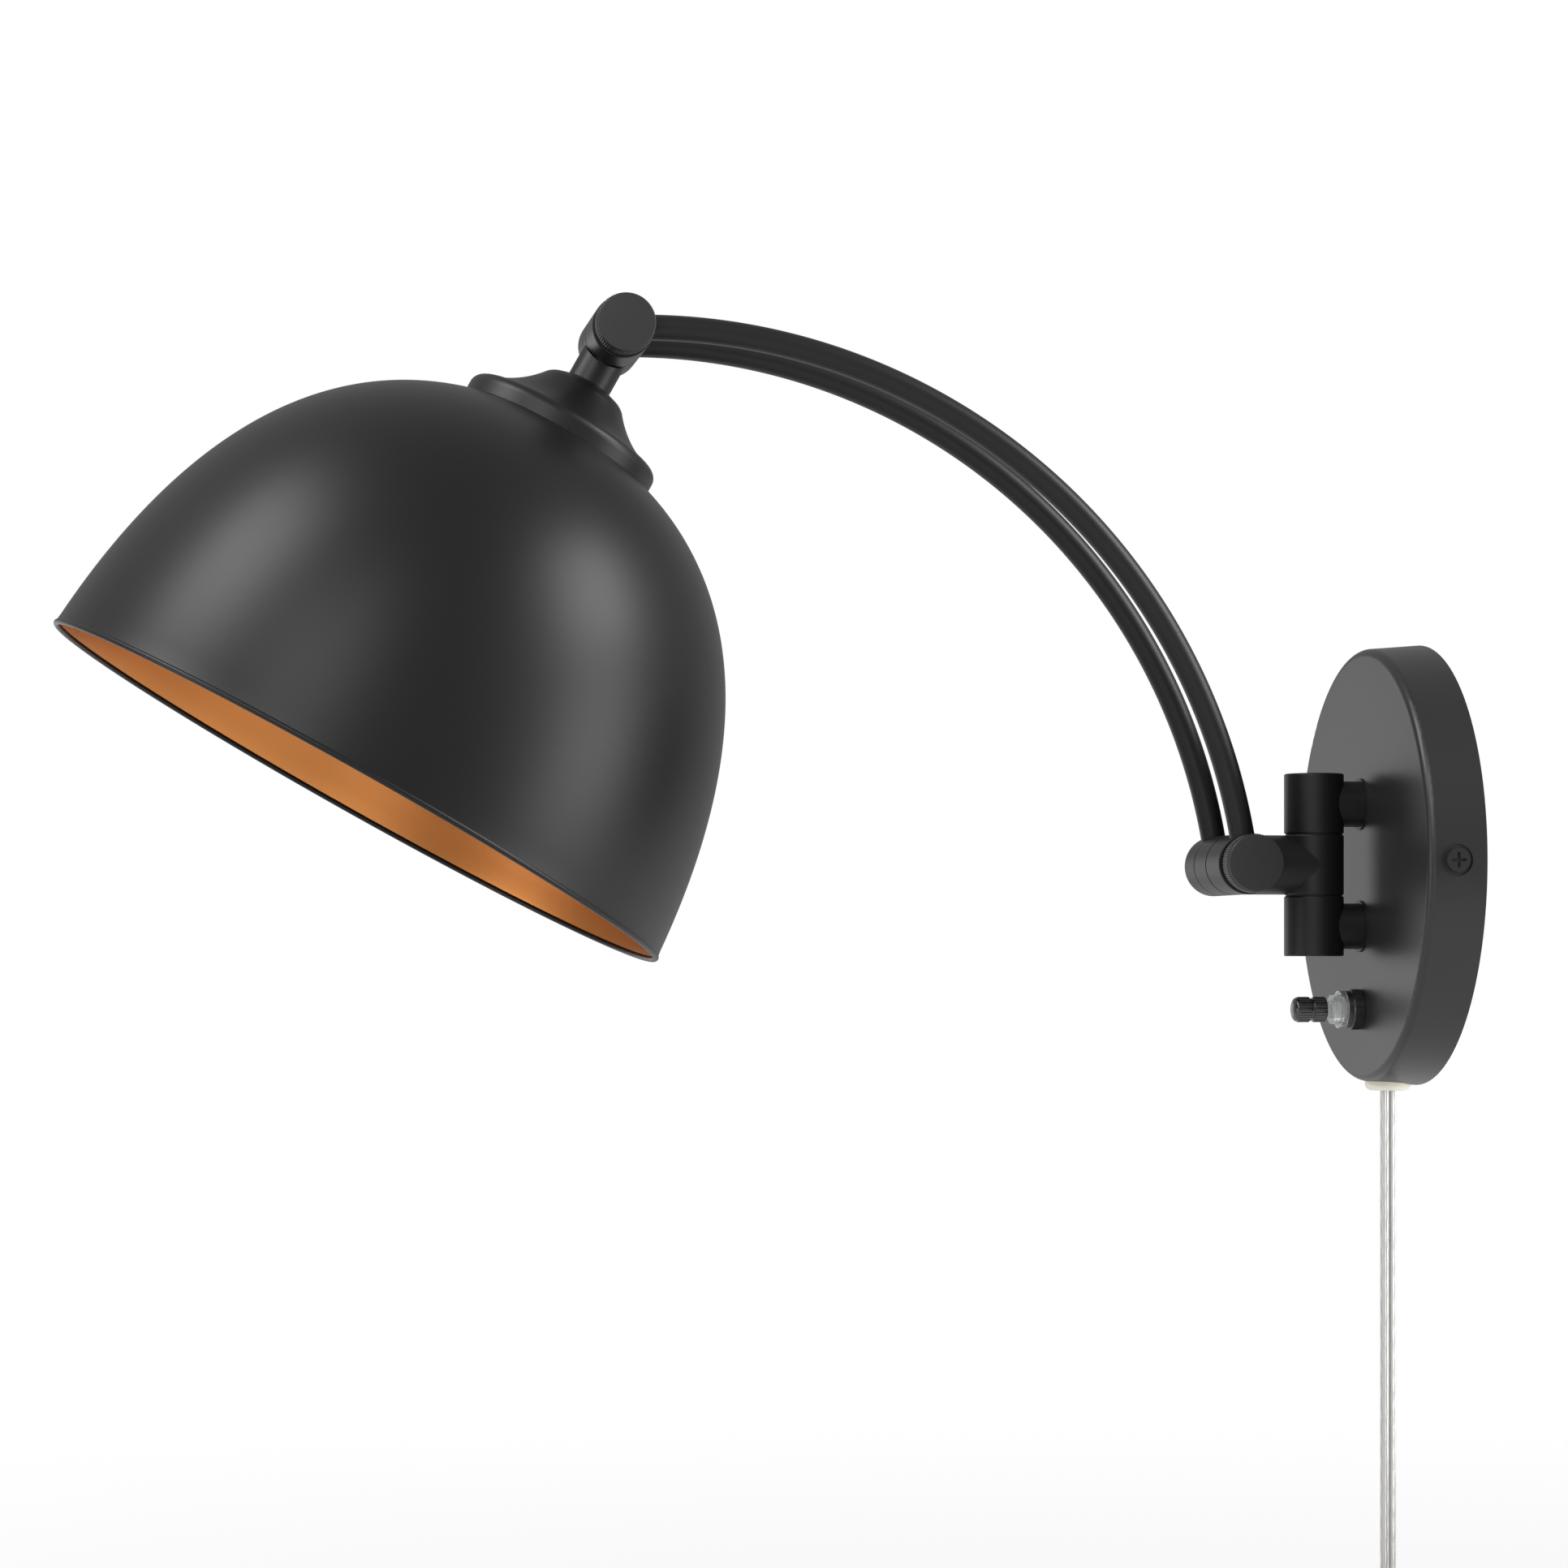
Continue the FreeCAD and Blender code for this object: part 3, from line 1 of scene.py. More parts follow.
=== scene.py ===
"""Looks of a swing arm wall sconce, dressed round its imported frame.

The wall is the plane y = 0, the lamp reaches out along -Y and +Z is up.  Lengths are in metres.
"""

from __future__ import annotations

import logging
import math
from collections.abc import Callable, Sequence
from dataclasses import dataclass, field, replace
from enum import Enum

import bmesh
import bpy
from mathutils import Matrix, Vector


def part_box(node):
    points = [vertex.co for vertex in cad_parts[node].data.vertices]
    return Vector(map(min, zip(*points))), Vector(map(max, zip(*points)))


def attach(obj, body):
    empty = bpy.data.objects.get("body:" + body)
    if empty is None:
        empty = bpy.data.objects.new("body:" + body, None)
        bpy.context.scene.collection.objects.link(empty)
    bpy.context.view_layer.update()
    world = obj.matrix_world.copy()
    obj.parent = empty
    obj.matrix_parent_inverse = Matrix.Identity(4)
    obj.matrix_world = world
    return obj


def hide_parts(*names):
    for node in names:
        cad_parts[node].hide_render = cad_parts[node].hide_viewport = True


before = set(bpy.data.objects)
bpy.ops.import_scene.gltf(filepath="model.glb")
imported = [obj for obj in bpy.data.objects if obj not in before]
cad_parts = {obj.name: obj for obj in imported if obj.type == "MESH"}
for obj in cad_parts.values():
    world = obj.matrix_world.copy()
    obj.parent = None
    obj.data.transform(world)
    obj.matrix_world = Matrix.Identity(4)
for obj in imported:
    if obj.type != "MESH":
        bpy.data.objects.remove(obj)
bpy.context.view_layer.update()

MM = 0.001
CLOUD_SCALE = 22.0
CLOUD_SHARE = 0.7
DRAWN_STRETCH = 0.02
CLOSE_RINGS = 0.6
SMEAR = 0.004
COAT_ROUGHNESS = 0.12
FLOOR_HALF = 40.0
FLOOR_FADE = (0.7, 2.2)
FLOOR_GLOW = 0.78
FLOOR_TONES = ((0.88, 0.88, 0.88), (0.92, 0.92, 0.92))

log = logging.getLogger("sconce")

Profile = Sequence[tuple[float, float]]
Faces = list[tuple[int, ...]]


class Body(Enum):
    """The bodies that the finer pieces ride on."""

    WALL = "wall_plate"
    ARM = "arm"
    SHADE = "shade_head"
    LOWER_KNOB = "lower_knob"
    UPPER_KNOB = "upper_knob"
    DIAL = "switch_dial"


class Grain(Enum):
    """The ways in which a surface's fine marks lie."""

    PEEL = "the pebbling of a sprayed coat"
    RINGS = "fine marks that go round an axis"
    DRAWN = "fine marks along an axis"
    MOULDED = "the soft waviness of moulded plastic"


class Axis(Enum):
    """Directions that a turned piece's own Z can be turned to."""

    UP = (0.0, 0.0, 1.0)
    DOWN = (0.0, 0.0, -1.0)
    SIDE = (1.0, 0.0, 0.0)
    OUT = (0.0, -1.0, 0.0)


@dataclass(frozen=True)
class Seat:
    """Where a piece stands: an origin, and the direction that its own Z takes.

    Args:
        origin: The piece's own origin, in the frame.
        direction: The direction of its own Z.
    """

    origin: tuple[float, float, float]
    direction: tuple[float, float, float] = Axis.UP.value

    def matrix(self) -> Matrix:
        """Return the transform from the piece's own space to the frame."""
        turn = Vector((0, 0, 1)).rotation_difference(Vector(self.direction)).to_matrix().to_4x4()
        return Matrix.Translation(self.origin) @ turn

    def along(self, distance: float) -> Seat:
        """Return the seat a distance further along its own Z."""
        point = Vector(self.origin) + Vector(self.direction).normalized() * distance
        return replace(self, origin=tuple(point))


def middle(node: str) -> Vector:
    """Return the centre of a node's box."""
    low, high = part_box(node)
    return (low + high) / 2


# ---- Finishes ----


@dataclass
class Value:
    """A number that varies over a surface, with arithmetic that adds Math nodes.

    Args:
        recipe: The recipe whose tree holds the nodes.
        socket: The output socket that carries the number.
    """

    recipe: Recipe
    socket: bpy.types.NodeSocket

    def _with(self, operation: str, other: Value | float) -> Value:
        """Join this value to another by one Math operation."""
        return self.recipe.math(operation, self, other)

    def __add__(self, other: Value | float) -> Value:
        """Add."""
        return self._with("ADD", other)

    def __sub__(self, other: Value | float) -> Value:
        """Subtract."""
        return self._with("SUBTRACT", other)

    def __mul__(self, other: Value | float) -> Value:
        """Multiply."""
        return self._with("MULTIPLY", other)

    def __pow__(self, other: float) -> Value:
        """Raise to a power."""
        return self._with("POWER", other)

    def clamped(self) -> Value:
        """Hold the value between nought and one."""
        return self.recipe.math("ADD", self, 0.0, use_clamp=True)


@dataclass
class Recipe:
    """A node tree while it is being written.

    Args:
        tree: The tree.
    """

    tree: bpy.types.NodeTree

    @classmethod
    def afresh(cls, owner: bpy.types.Material | bpy.types.World) -> Recipe:
        """Return a recipe for a material or a world whose tree starts again empty."""
        owner.use_nodes = True
        owner.node_tree.nodes.clear()
        return cls(owner.node_tree)

    def node(self, kind: str, settings: dict | None = None, **inputs: object) -> bpy.types.Node:
        """Add one node.

        Args:
            kind: The node's type.
            settings: Properties to set before the sockets are filled.
            inputs: Values or links by socket name, with underscores for spaces, or in1, in2 by place.

        Returns:
            The node.
        """
        node = self.tree.nodes.new(kind)
        for key, setting in (settings or {}).items():
            setattr(node, key, setting)
        for key, given in inputs.items():
            place = int(key[2:]) - 1 if key[:2] == "in" and key[2:].isdigit() else key.replace("_", " ")
            socket = node.inputs[place]
            if isinstance(given, Value):
                given = given.socket
            if isinstance(given, bpy.types.NodeSocket):
                self.tree.links.new(given, socket)
            else:
                socket.default_value = given
        return node

    def math(self, operation: str, *terms: Value | float, use_clamp: bool = False) -> Value:
        """Add a Math node and return what it gives."""
        settings = {"operation": operation, "use_clamp": use_clamp}
        places = {f"in{place}": term for place, term in enumerate(terms, start=1)}
        return Value(self, self.node("ShaderNodeMath", settings, **places).outputs[0])

    def noise(self, vector: bpy.types.NodeSocket, scale: float, detail: float = 2.0) -> Value:
        """Add a noise pattern and return its value, about one half on average."""
        node = self.node("ShaderNodeTexNoise", Vector=vector, Scale=scale, Detail=detail)
        return Value(self, node.outputs["Fac"])

    def tint(self, factor: Value, low: Sequence[float], high: Sequence[float]) -> bpy.types.NodeSocket:
        """Blend two colours by a value, and return the colour socket."""
        mix = self.node("ShaderNodeMix", {"data_type": "RGBA"}, in1=factor, in7=(*low, 1.0), in8=(*high, 1.0))
        return mix.outputs[2]

    def smooth_step(self, value: Value, start: float, end: float) -> Value:
        """Return a value that eases from nought to one between two limits."""
        settings = {"interpolation_type": "SMOOTHSTEP"}
        ranged = self.node("ShaderNodeMapRange", settings, Value=value, From_Min=start, From_Max=end)
        return Value(self, ranged.outputs[0])


@dataclass(frozen=True)
class Finish:
    """A surface finish with fine marks, a little unevenness and, where it is coated, a clear skin.

    Args:
        name: The material's name.
        slot: The record's material slot; not used.
        color: Its colour, linear.
        roughness: Its mean roughness.
        metallic: Whether it is bare metal.
        specular: The strength of its plain reflection.
        glare: The share of that reflection that its fine texture lets out.
        coat: The strength of a clear skin over it.
        transmission: How much light goes through it.
        ior: Its index of refraction.
        grain: How its fine marks lie.
        grain_size: The distance between its marks.
        grain_depth: How deep the marks are.
        unevenness: The share by which its tone and roughness wander.
        seat: The axis that rings go round or drawn marks follow.
    """

    name: str
    slot: str
    color: tuple[float, float, float]
    roughness: float
    metallic: float = 0.0
    specular: float = 0.5
    glare: float = 1.0
    coat: float = 0.0
    transmission: float = 0.0
    ior: float = 1.5
    grain: Grain = Grain.MOULDED
    grain_size: float = 1.0 * MM
    grain_depth: float = 0.01 * MM
    unevenness: float = 0.12
    seat: Seat | None = None

    def _marks(self, recipe: Recipe, place: bpy.types.NodeSocket) -> Value:
        """Return the height of the fine marks."""
        fine = 1.0 / self.grain_size
        if self.grain in (Grain.PEEL, Grain.MOULDED):
            return recipe.noise(place, fine, 1.0 if self.grain is Grain.MOULDED else 3.0)
        parts = recipe.node("ShaderNodeSeparateXYZ", Vector=place).outputs
        across, along, up = (Value(recipe, part) for part in parts)
        if self.grain is Grain.DRAWN:
            stretched = recipe.node("ShaderNodeCombineXYZ", X=across, Y=along, Z=up * DRAWN_STRETCH)
            return recipe.noise(stretched.outputs[0], fine, 3.0)
        reach = (across * across + along * along) ** 0.5
        rings = recipe.node("ShaderNodeCombineXYZ", X=reach, Y=up)
        close = recipe.noise(rings.outputs[0], fine, 3.0)
        angle = recipe.math("ARCTAN2", along, across)
        smear = recipe.node("ShaderNodeCombineXYZ", X=reach, Y=up, Z=angle * SMEAR)
        wide = recipe.noise(smear.outputs[0], fine * 0.6, 4.0)
        return close * CLOSE_RINGS + wide * (1.0 - CLOSE_RINGS)

    def material(self) -> bpy.types.Material:
        """Return the material, made once and kept."""
        known = bpy.data.materials.get(self.name)
        if known:
            return known
        material = bpy.data.materials.new(self.name)
        recipe = Recipe.afresh(material)
        place = recipe.node("ShaderNodeTexCoord").outputs["Object"]
        if self.seat:
            turn = tuple(self.seat.matrix().to_euler())
            settings = {"vector_type": "TEXTURE"}
            spot = self.seat.origin
            mapping = recipe.node("ShaderNodeMapping", settings, Vector=place, Location=spot, Rotation=turn)
            place = mapping.outputs[0]
        marks = self._marks(recipe, place)
        cloud = recipe.noise(place, CLOUD_SCALE, 3.0)
        tone = (cloud * CLOUD_SHARE + marks * (1.0 - CLOUD_SHARE)).clamped()
        low = [part * (1 - self.unevenness) for part in self.color]
        high = [min(part * (1 + self.unevenness), 1.0) for part in self.color]
        spread = self.roughness * self.unevenness
        rough = (cloud - 0.5) * spread + (marks - 0.5) * spread + self.roughness
        bump = recipe.node("ShaderNodeBump", Height=marks, Strength=1.0, Distance=self.grain_depth)
        shader = recipe.node(
            "ShaderNodeBsdfPrincipled",
            Base_Color=recipe.tint(tone, low, high),
            Roughness=rough,
            Metallic=self.metallic,
            IOR=self.ior,
            Specular_IOR_Level=self.specular,
            Specular_Tint=(self.glare, self.glare, self.glare, 1.0),
            Coat_Weight=self.coat,
            Coat_Roughness=COAT_ROUGHNESS,
            Transmission_Weight=self.transmission,
            Normal=bump.outputs[0],
        )
        recipe.node("ShaderNodeOutputMaterial", Surface=shader.outputs[0])
        return material


SHADE_TILT = math.radians(29.2)
SHADE_DIRECTION = (0.0, math.sin(SHADE_TILT), math.cos(SHADE_TILT))
SHADE_PIVOT = Seat((middle("shade_stem").x, *tuple(middle("upper_clamp_bolt"))[1:]), SHADE_DIRECTION)
SHADE_RIM = SHADE_PIVOT.along(-157.8 * MM)

POWDER = Finish(
    "satin_black_powder_coat", "black_powder_coat", (0.0055, 0.0055, 0.006), 0.42, glare=0.55,
    grain=Grain.PEEL, grain_size=0.8 * MM, grain_depth=0.002 * MM, unevenness=0.07,
)
ZINC = Finish(
    "zinc_plated_steel", "zinc_steel", (0.52, 0.53, 0.54), 0.46, metallic=1.0,
    grain=Grain.DRAWN, grain_size=0.25 * MM, grain_depth=0.006 * MM, unevenness=0.16,
)
BRASS = Finish(
    "plain_brass", "brass", (0.74, 0.53, 0.24), 0.27, metallic=1.0,
    grain=Grain.DRAWN, grain_size=0.2 * MM, grain_depth=0.004 * MM, unevenness=0.14,
)
PHENOLIC = Finish(
    "black_phenolic", "black_phenolic", (0.016, 0.015, 0.015), 0.36, coat=0.15,
    grain_size=1.6 * MM, grain_depth=0.02 * MM,
)
DIAL_PLASTIC = Finish(
    "ribbed_black_plastic", "black_knob_plastic", (0.012, 0.012, 0.012), 0.22, coat=0.4,
    grain_size=0.8 * MM, grain_depth=0.01 * MM,
)
CLEAR = Finish(
    "clear_moulded_plastic", "clear_plastic", (0.9, 0.91, 0.91), 0.16, transmission=0.82, ior=1.46,
    grain_size=1.2 * MM, grain_depth=0.02 * MM, unevenness=0.03,
)
CORD_JACKET = Finish(
    "clear_cord_jacket", "clear_cord", (0.8, 0.8, 0.79), 0.08, transmission=0.95, ior=1.46,
    grain_size=2.5 * MM, grain_depth=0.02 * MM, unevenness=0.03,
)
STRANDS = Finish(
    "silvery_wire_strands", "clear_cord", (0.5, 0.49, 0.47), 0.3, metallic=1.0,
    grain_size=0.3 * MM, grain_depth=0.01 * MM, unevenness=0.15,
)
IVORY = Finish(
    "ivory_nylon", "ivory_plastic", (0.66, 0.64, 0.54), 0.38,
    grain_size=0.9 * MM, grain_depth=0.01 * MM, unevenness=0.05,
)
INSULATION = Finish(
    "white_wire_insulation", "wire_insulation", (0.74, 0.74, 0.7), 0.33,
    grain_size=1.4 * MM, grain_depth=0.01 * MM,
)
CONNECTOR = Finish(
    "orange_connector_plastic", "connector_plastic", (0.62, 0.2, 0.03), 0.42,
    grain_size=0.7 * MM, grain_depth=0.015 * MM,
)
NYLON = Finish(
    "black_nylon", "glide_nylon", (0.006, 0.006, 0.006), 0.55, specular=0.3,
    grain_size=0.6 * MM, grain_depth=0.01 * MM,
)
# The dome's coat: a copy of the satin black coat whose slightly darker colour is painted shade on the dome.
SHADE_OUTSIDE = replace(
    POWDER, name="shade_coat_painted_shade", slot="shade_shell", seat=SHADE_RIM, glare=0.47, roughness=0.4,
    color=(0.0045, 0.0045, 0.005),
)
SCREW_COAT = replace(
    POWDER, name="black_screw_coat", slot="black_hardware", glare=1.0, roughness=0.24,
    color=(0.012, 0.012, 0.012),
)
# The canopy's coat: a copy of the satin black coat whose lighter colour is painted light on the canopy.
CANOPY_LIT_COAT = replace(
    POWDER, name="canopy_coat_painted_light", color=(0.012, 0.012, 0.0125), glare=0.8, roughness=0.36,
)
SHADE_INSIDE = Finish(
    "spun_copper_lining", "shade_shell", (0.58, 0.235, 0.066), 0.36, metallic=0.85,
    grain=Grain.RINGS, grain_size=0.5 * MM, grain_depth=0.01 * MM, unevenness=0.2, seat=SHADE_RIM,
)
# The knobs' turned coat: a copy of the satin black coat whose lighter colour is painted light on the knobs'
# faces; its rings are real marks.
LIT_KNOB_FACE = replace(
    POWDER, name="turned_knob_coat_painted_light", slot="black_hardware", grain=Grain.RINGS, grain_size=0.35 * MM,
    grain_depth=0.004 * MM, color=(0.024, 0.024, 0.025),
)

CAD_FINISHES: dict[Finish, tuple[str, ...]] = {
    CANOPY_LIT_COAT: ("canopy",),
    POWDER: (
        "knuckle_upper", "knuckle_lower", "stub_washers", "t_fitting", "lower_barrel_front",
        "lower_barrel_rear", "upper_barrel_front", "upper_barrel_rear", "tube_front", "tube_rear",
        "shade_stem", "shade_holder", "shade",
    ),
    SCREW_COAT: ("side_screws", "lower_clamp_knob", "upper_clamp_knob", "switch_ring_nut"),
    ZINC: (
        "mounting_bracket", "lock_washers", "mounting_nuts", "hinge_pin", "lower_clamp_bolt",
        "upper_clamp_bolt", "threaded_nipple", "crown_washer", "crown_nut",
    ),
    BRASS: ("ground_screw", "screw_shell", "centre_contact", "plug_blades"),
    PHENOLIC: ("socket_cap", "socket_body", "switch_body"),
    DIAL_PLASTIC: ("switch_knob",),
    CLEAR: ("switch_bushing", "switch_collar", "switch_stem", "plug"),
    CORD_JACKET: ("cord", "cord_coil", "cord_tail"),
    IVORY: ("cord_bushing",),
    INSULATION: ("arm_lead", "canopy_leads"),
    CONNECTOR: ("wire_connectors",),
    NYLON: ("swivel_washers", "lower_friction_washers", "upper_friction_washers", "cord_tie"),
}


def dress_frame() -> None:
    """Give every carried-over CAD node its finish."""
    for finish, names in CAD_FINISHES.items():
        for name in names:
            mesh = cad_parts[name].data
            mesh.materials.clear()
            mesh.materials.append(finish.material())
        log.info("%s on %d nodes", finish.name, len(names))


# ---- Making meshes ----


def rounded(corners: Sequence[tuple[float, float, float]], steps: int = 5) -> list[tuple[float, float]]:
    """Round the corners of an open outline.

    Args:
        corners: For each corner, its reach, its height and the radius to round it by.
        steps: How many parts each arc has.

    Returns:
        The outline's points.
    """
    outline: list[tuple[float, float]] = []
    for index, (reach, height, radius) in enumerate(corners):
        here = Vector((reach, height))
        if radius <= 0 or index in (0, len(corners) - 1):
            outline.append((reach, height))
            continue
        back = (Vector(corners[index - 1][:2]) - here).normalized()
        ahead = (Vector(corners[index + 1][:2]) - here).normalized()
        half = back.angle(ahead) / 2
        trim = radius / math.tan(half)
        centre = here + (back + ahead).normalized() * (radius / math.sin(half))
        start = here + back * trim - centre
        end = here + ahead * trim - centre
        sweep = start.angle(end)
        for step in range(steps + 1):
            share = step / steps
            spoke = (start * math.sin((1 - share) * sweep) + end * math.sin(share * sweep)) / math.sin(sweep)
            outline.append(tuple(centre + spoke))
    return outline


def circle(steps: int, radius: float = 1.0) -> list[tuple[float, float]]:
    """Return the points of a circle about the origin."""
    angles = (math.tau * step / steps for step in range(steps))
    return [(radius * math.cos(angle), radius * math.sin(angle)) for angle in angles]


def bridged(low: int, high: int, count: int) -> Faces:
    """Return the faces between two closed rings of points, from their first points' numbers."""
    steps = [(step, (step + 1) % count) for step in range(count)]
    return [(low + step, low + after, high + after, high + step) for step, after in steps]


def turned(outline: Profile, segments: int = 96) -> tuple[list[Vector], Faces]:
    """Turn an outline about Z.  An outline that ends on the axis is closed there by a pole.

    Args:
        outline: Reach and height of each point, from one end to the other.
        segments: How many steps one turn has.

    Returns:
        Vertices and faces.
    """
    points: list[Vector] = []
    rings: list[tuple[int, bool]] = []
    for reach, height in outline:
        pole = reach < 1e-7
        rings.append((len(points), pole))
        ring = [(0.0, 0.0)] if pole else circle(segments, reach)
        points += [Vector((x, y, height)) for x, y in ring]
    faces: Faces = []
    for (low, low_pole), (high, high_pole) in zip(rings, rings[1:]):
        for a, b, c, d in bridged(low, high, segments):
            if low_pole:
                faces.append((low, c, d))
            elif high_pole:
                faces.append((a, b, high))
            else:
                faces.append((a, b, c, d))
    return points, faces


def swept(
    path: Sequence[Vector], section: Callable[[int], Profile], widthwise: Vector, capped: bool = True
) -> tuple[list[Vector], Faces]:
    """Sweep a section along a path, keeping its width as near to one direction as it can be.

    Args:
        path: The points that the section's middle follows.
        section: Gives the section's outline at each point: across the width, and across the thickness.
        widthwise: The direction of the section's width.
        capped: Whether both ends are closed.

    Returns:
        Vertices and faces.
    """
    points: list[Vector] = []
    faces: Faces = []
    count = len(section(0))
    for index, point in enumerate(path):
        ahead = path[min(index + 1, len(path) - 1)] - path[max(index - 1, 0)]
        heading = ahead.normalized()
        across = (widthwise - heading * widthwise.dot(heading)).normalized()
        through = heading.cross(across)
        points += [point + across * wide + through * thick for wide, thick in section(index)]
    for ring in range(len(path) - 1):
        faces += bridged(ring * count, (ring + 1) * count, count)
    if capped:
        faces.append(tuple(reversed(range(count))))
        faces.append(tuple(range(len(points) - count, len(points))))
    return points, faces


def add_piece(
    name: str,
    geometry: tuple[Sequence[Vector], Faces],
    finishes: Sequence[Finish],
    body: Body,
    seat: Seat | None = None,
    stands_for: Sequence[str] = (),
    choose: Callable[[bmesh.types.BMFace], int] | None = None,
    sharp_angle: float = 35.0,
) -> bpy.types.Object:
    """Make a finished piece at the origin with its place in its mesh, and let it ride.

    Args:
        name: The piece's name.
        geometry: Vertices and faces, in the piece's own space.
        finishes: Its finishes, one material slot each.
        body: The body it rides on.
        seat: Where its own space stands in the frame.
        stands_for: The CAD nodes it replaces.
        choose: Gives the finish's number for a face, in the piece's own space.
        sharp_angle: Edges that turn by more than this many degrees stay crisp.

    Returns:
        The piece.
    """
    points, faces = geometry
    mesh = bpy.data.meshes.new(name)
    mesh.from_pydata([tuple(point) for point in points], [], faces)
    shape = bmesh.new()
    shape.from_mesh(mesh)
    bmesh.ops.remove_doubles(shape, verts=shape.verts, dist=1e-7)
    bmesh.ops.recalc_face_normals(shape, faces=shape.faces)
    for face in shape.faces:
        face.smooth = True
        if choose:
            face.material_index = choose(face)
    for edge in shape.edges:
        if len(edge.link_faces) == 2 and edge.calc_face_angle() > math.radians(sharp_angle):
            edge.smooth = False
    if seat:
        bmesh.ops.transform(shape, matrix=seat.matrix(), verts=shape.verts)
    shape.to_mesh(mesh)
    shape.free()
    piece = bpy.data.objects.new(name, mesh)
    bpy.context.scene.collection.objects.link(piece)
    for finish in finishes:
        mesh.materials.append(finish.material())
    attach(piece, body.value)
    if stands_for:
        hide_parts(*stands_for)
    log.info("%s: %d faces on %s", name, len(mesh.polygons), body.value)
    return piece


# ---- Camera and light ----

# Each lamp's bearing and elevation in degrees, and its power in watts.
LAMPS: dict[str, tuple[float, float, float]] = {
    "left_softbox": (-80.0, 48.0, 22.0),
    "left_low_softbox": (-78.0, 2.0, 7.0),
    "low_softbox": (-12.0, -8.0, 2.5),
    "front_softbox": (-28.0, 30.0, 13.0),
    "right_softbox": (70.0, 30.0, 27.0),
    "right_low_softbox": (66.0, -3.0, 18.0),
    "rear_softbox": (-158.0, -6.0, 2.0),
}


@dataclass
class Studio:
    """The camera, the lamps, the pale floor and the white surround.

    Args:
        eye: The camera's place.
        heading: The camera's turn from the wall's normal, in degrees.
        lens: Its focal length in millimetres, on a 36 mm sensor.
        rise: Its vertical shift, as a share of the sensor.
        floor_drop: How far the floor is below the canopy's centre.
        fill: The surround's light on the object.
        mirrored: The share of the white surround that plain reflections show.
        heart: The point that the lamps face.
        lamp_distance: Their distance from it.
        lamp_size: Each lamp's width and height.
    """

    eye: tuple[float, float, float] = (1.1524, -0.3803, -0.0288)
    heading: float = 9.06
    lens: float = 89.26
    rise: float = 0.1116
    floor_drop: float = 0.42
    fill: float = 0.15
    mirrored: float = 0.32
    heart: tuple[float, float, float] = (0.0, -0.2, 0.06)
    lamp_distance: float = 1.8
    lamp_size: float = 0.85

    def place_camera(self) -> None:
        """Set up the camera."""
        data = bpy.data.cameras.new("camera")
        data.sensor_width = 36.0
        data.lens = self.lens
        data.shift_y = self.rise
        data.clip_start = 0.01
        camera = bpy.data.objects.new("camera", data)
        camera.location = self.eye
        camera.rotation_euler = (math.pi / 2, 0.0, math.radians(90.0 - self.heading))
        bpy.context.scene.collection.objects.link(camera)
        bpy.context.scene.camera = camera

    def add_lamp(self, name: str, bearing: float, climb: float, power: float) -> None:
        """Add a square soft lamp that faces the object.

        Args:
            name: The lamp's name.
            bearing: Its direction from the object, in degrees from straight along the wall's side.
            climb: Its elevation, in degrees.
            power: Its power in watts.
        """
        data = bpy.data.lights.new(name, "AREA")
        data.shape = "SQUARE"
        data.size = self.lamp_size
        data.energy = power
        turn, lift = math.radians(bearing), math.radians(climb)
        towards = Vector((math.cos(lift) * math.cos(turn), math.cos(lift) * math.sin(turn), math.sin(lift)))
        lamp = bpy.data.objects.new(name, data)
        lamp.location = Vector(self.heart) + towards * self.lamp_distance
        lamp.rotation_euler = towards.to_track_quat("Z", "Y").to_euler()
        lamp.visible_camera = False
        bpy.context.scene.collection.objects.link(lamp)

    def whiten(self) -> None:
        """Make a surround that is white behind the object, and soft light on it."""
        world = bpy.data.worlds.new("surround")
        bpy.context.scene.world = world
        recipe = Recipe.afresh(world)
        seen = self.direct_rays(recipe)
        level = seen * (1.0 - self.fill) + self.fill
        background = recipe.node("ShaderNodeBackground", Color=(1.0, 1.0, 1.0, 1.0), Strength=level)
        recipe.node("ShaderNodeOutputWorld", Surface=background.outputs[0])

    def direct_rays(self, recipe: Recipe) -> Value:
        """Return one for the rays that show the surround itself, and nought for the rest."""
        rays = recipe.node("ShaderNodeLightPath").outputs
        names = ("Is Camera Ray", "Is Glossy Ray", "Is Transmission Ray")
        camera, glossy, through = (Value(recipe, rays[name]) for name in names)
        return (camera + glossy * self.mirrored + through).clamped()

    def lay_floor(self) -> None:
        """Lay a wide pale floor that keeps the object's shadow."""
        material = bpy.data.materials.new("pale_floor")
        recipe = Recipe.afresh(material)
        place = recipe.node("ShaderNodeTexCoord").outputs["Object"]
        length = recipe.node("ShaderNodeVectorMath", {"operation": "LENGTH"}, in1=place)
        far = recipe.smooth_step(Value(recipe, length.outputs["Value"]), *FLOOR_FADE)
        seen = self.direct_rays(recipe) * (far * (1.0 - FLOOR_GLOW) + FLOOR_GLOW)
        tone = recipe.tint(recipe.noise(place, 3.0), *FLOOR_TONES)
        matte = recipe.node("ShaderNodeBsdfDiffuse", Color=tone)
        glow = recipe.node("ShaderNodeEmission", Strength=1.0)
        blend = recipe.node("ShaderNodeMixShader", in1=seen, in2=matte.outputs[0], in3=glow.outputs[0])
        recipe.node("ShaderNodeOutputMaterial", Surface=blend.outputs[0])
        mesh = bpy.data.meshes.new("floor")
        signs = ((-1, -1), (1, -1), (1, 1), (-1, 1))
        corners = [(x * FLOOR_HALF, y * FLOOR_HALF, -self.floor_drop) for x, y in signs]
        mesh.from_pydata(corners, [], [(0, 1, 2, 3)])
        mesh.materials.append(material)
        floor = bpy.data.objects.new("floor", mesh)
        bpy.context.scene.collection.objects.link(floor)

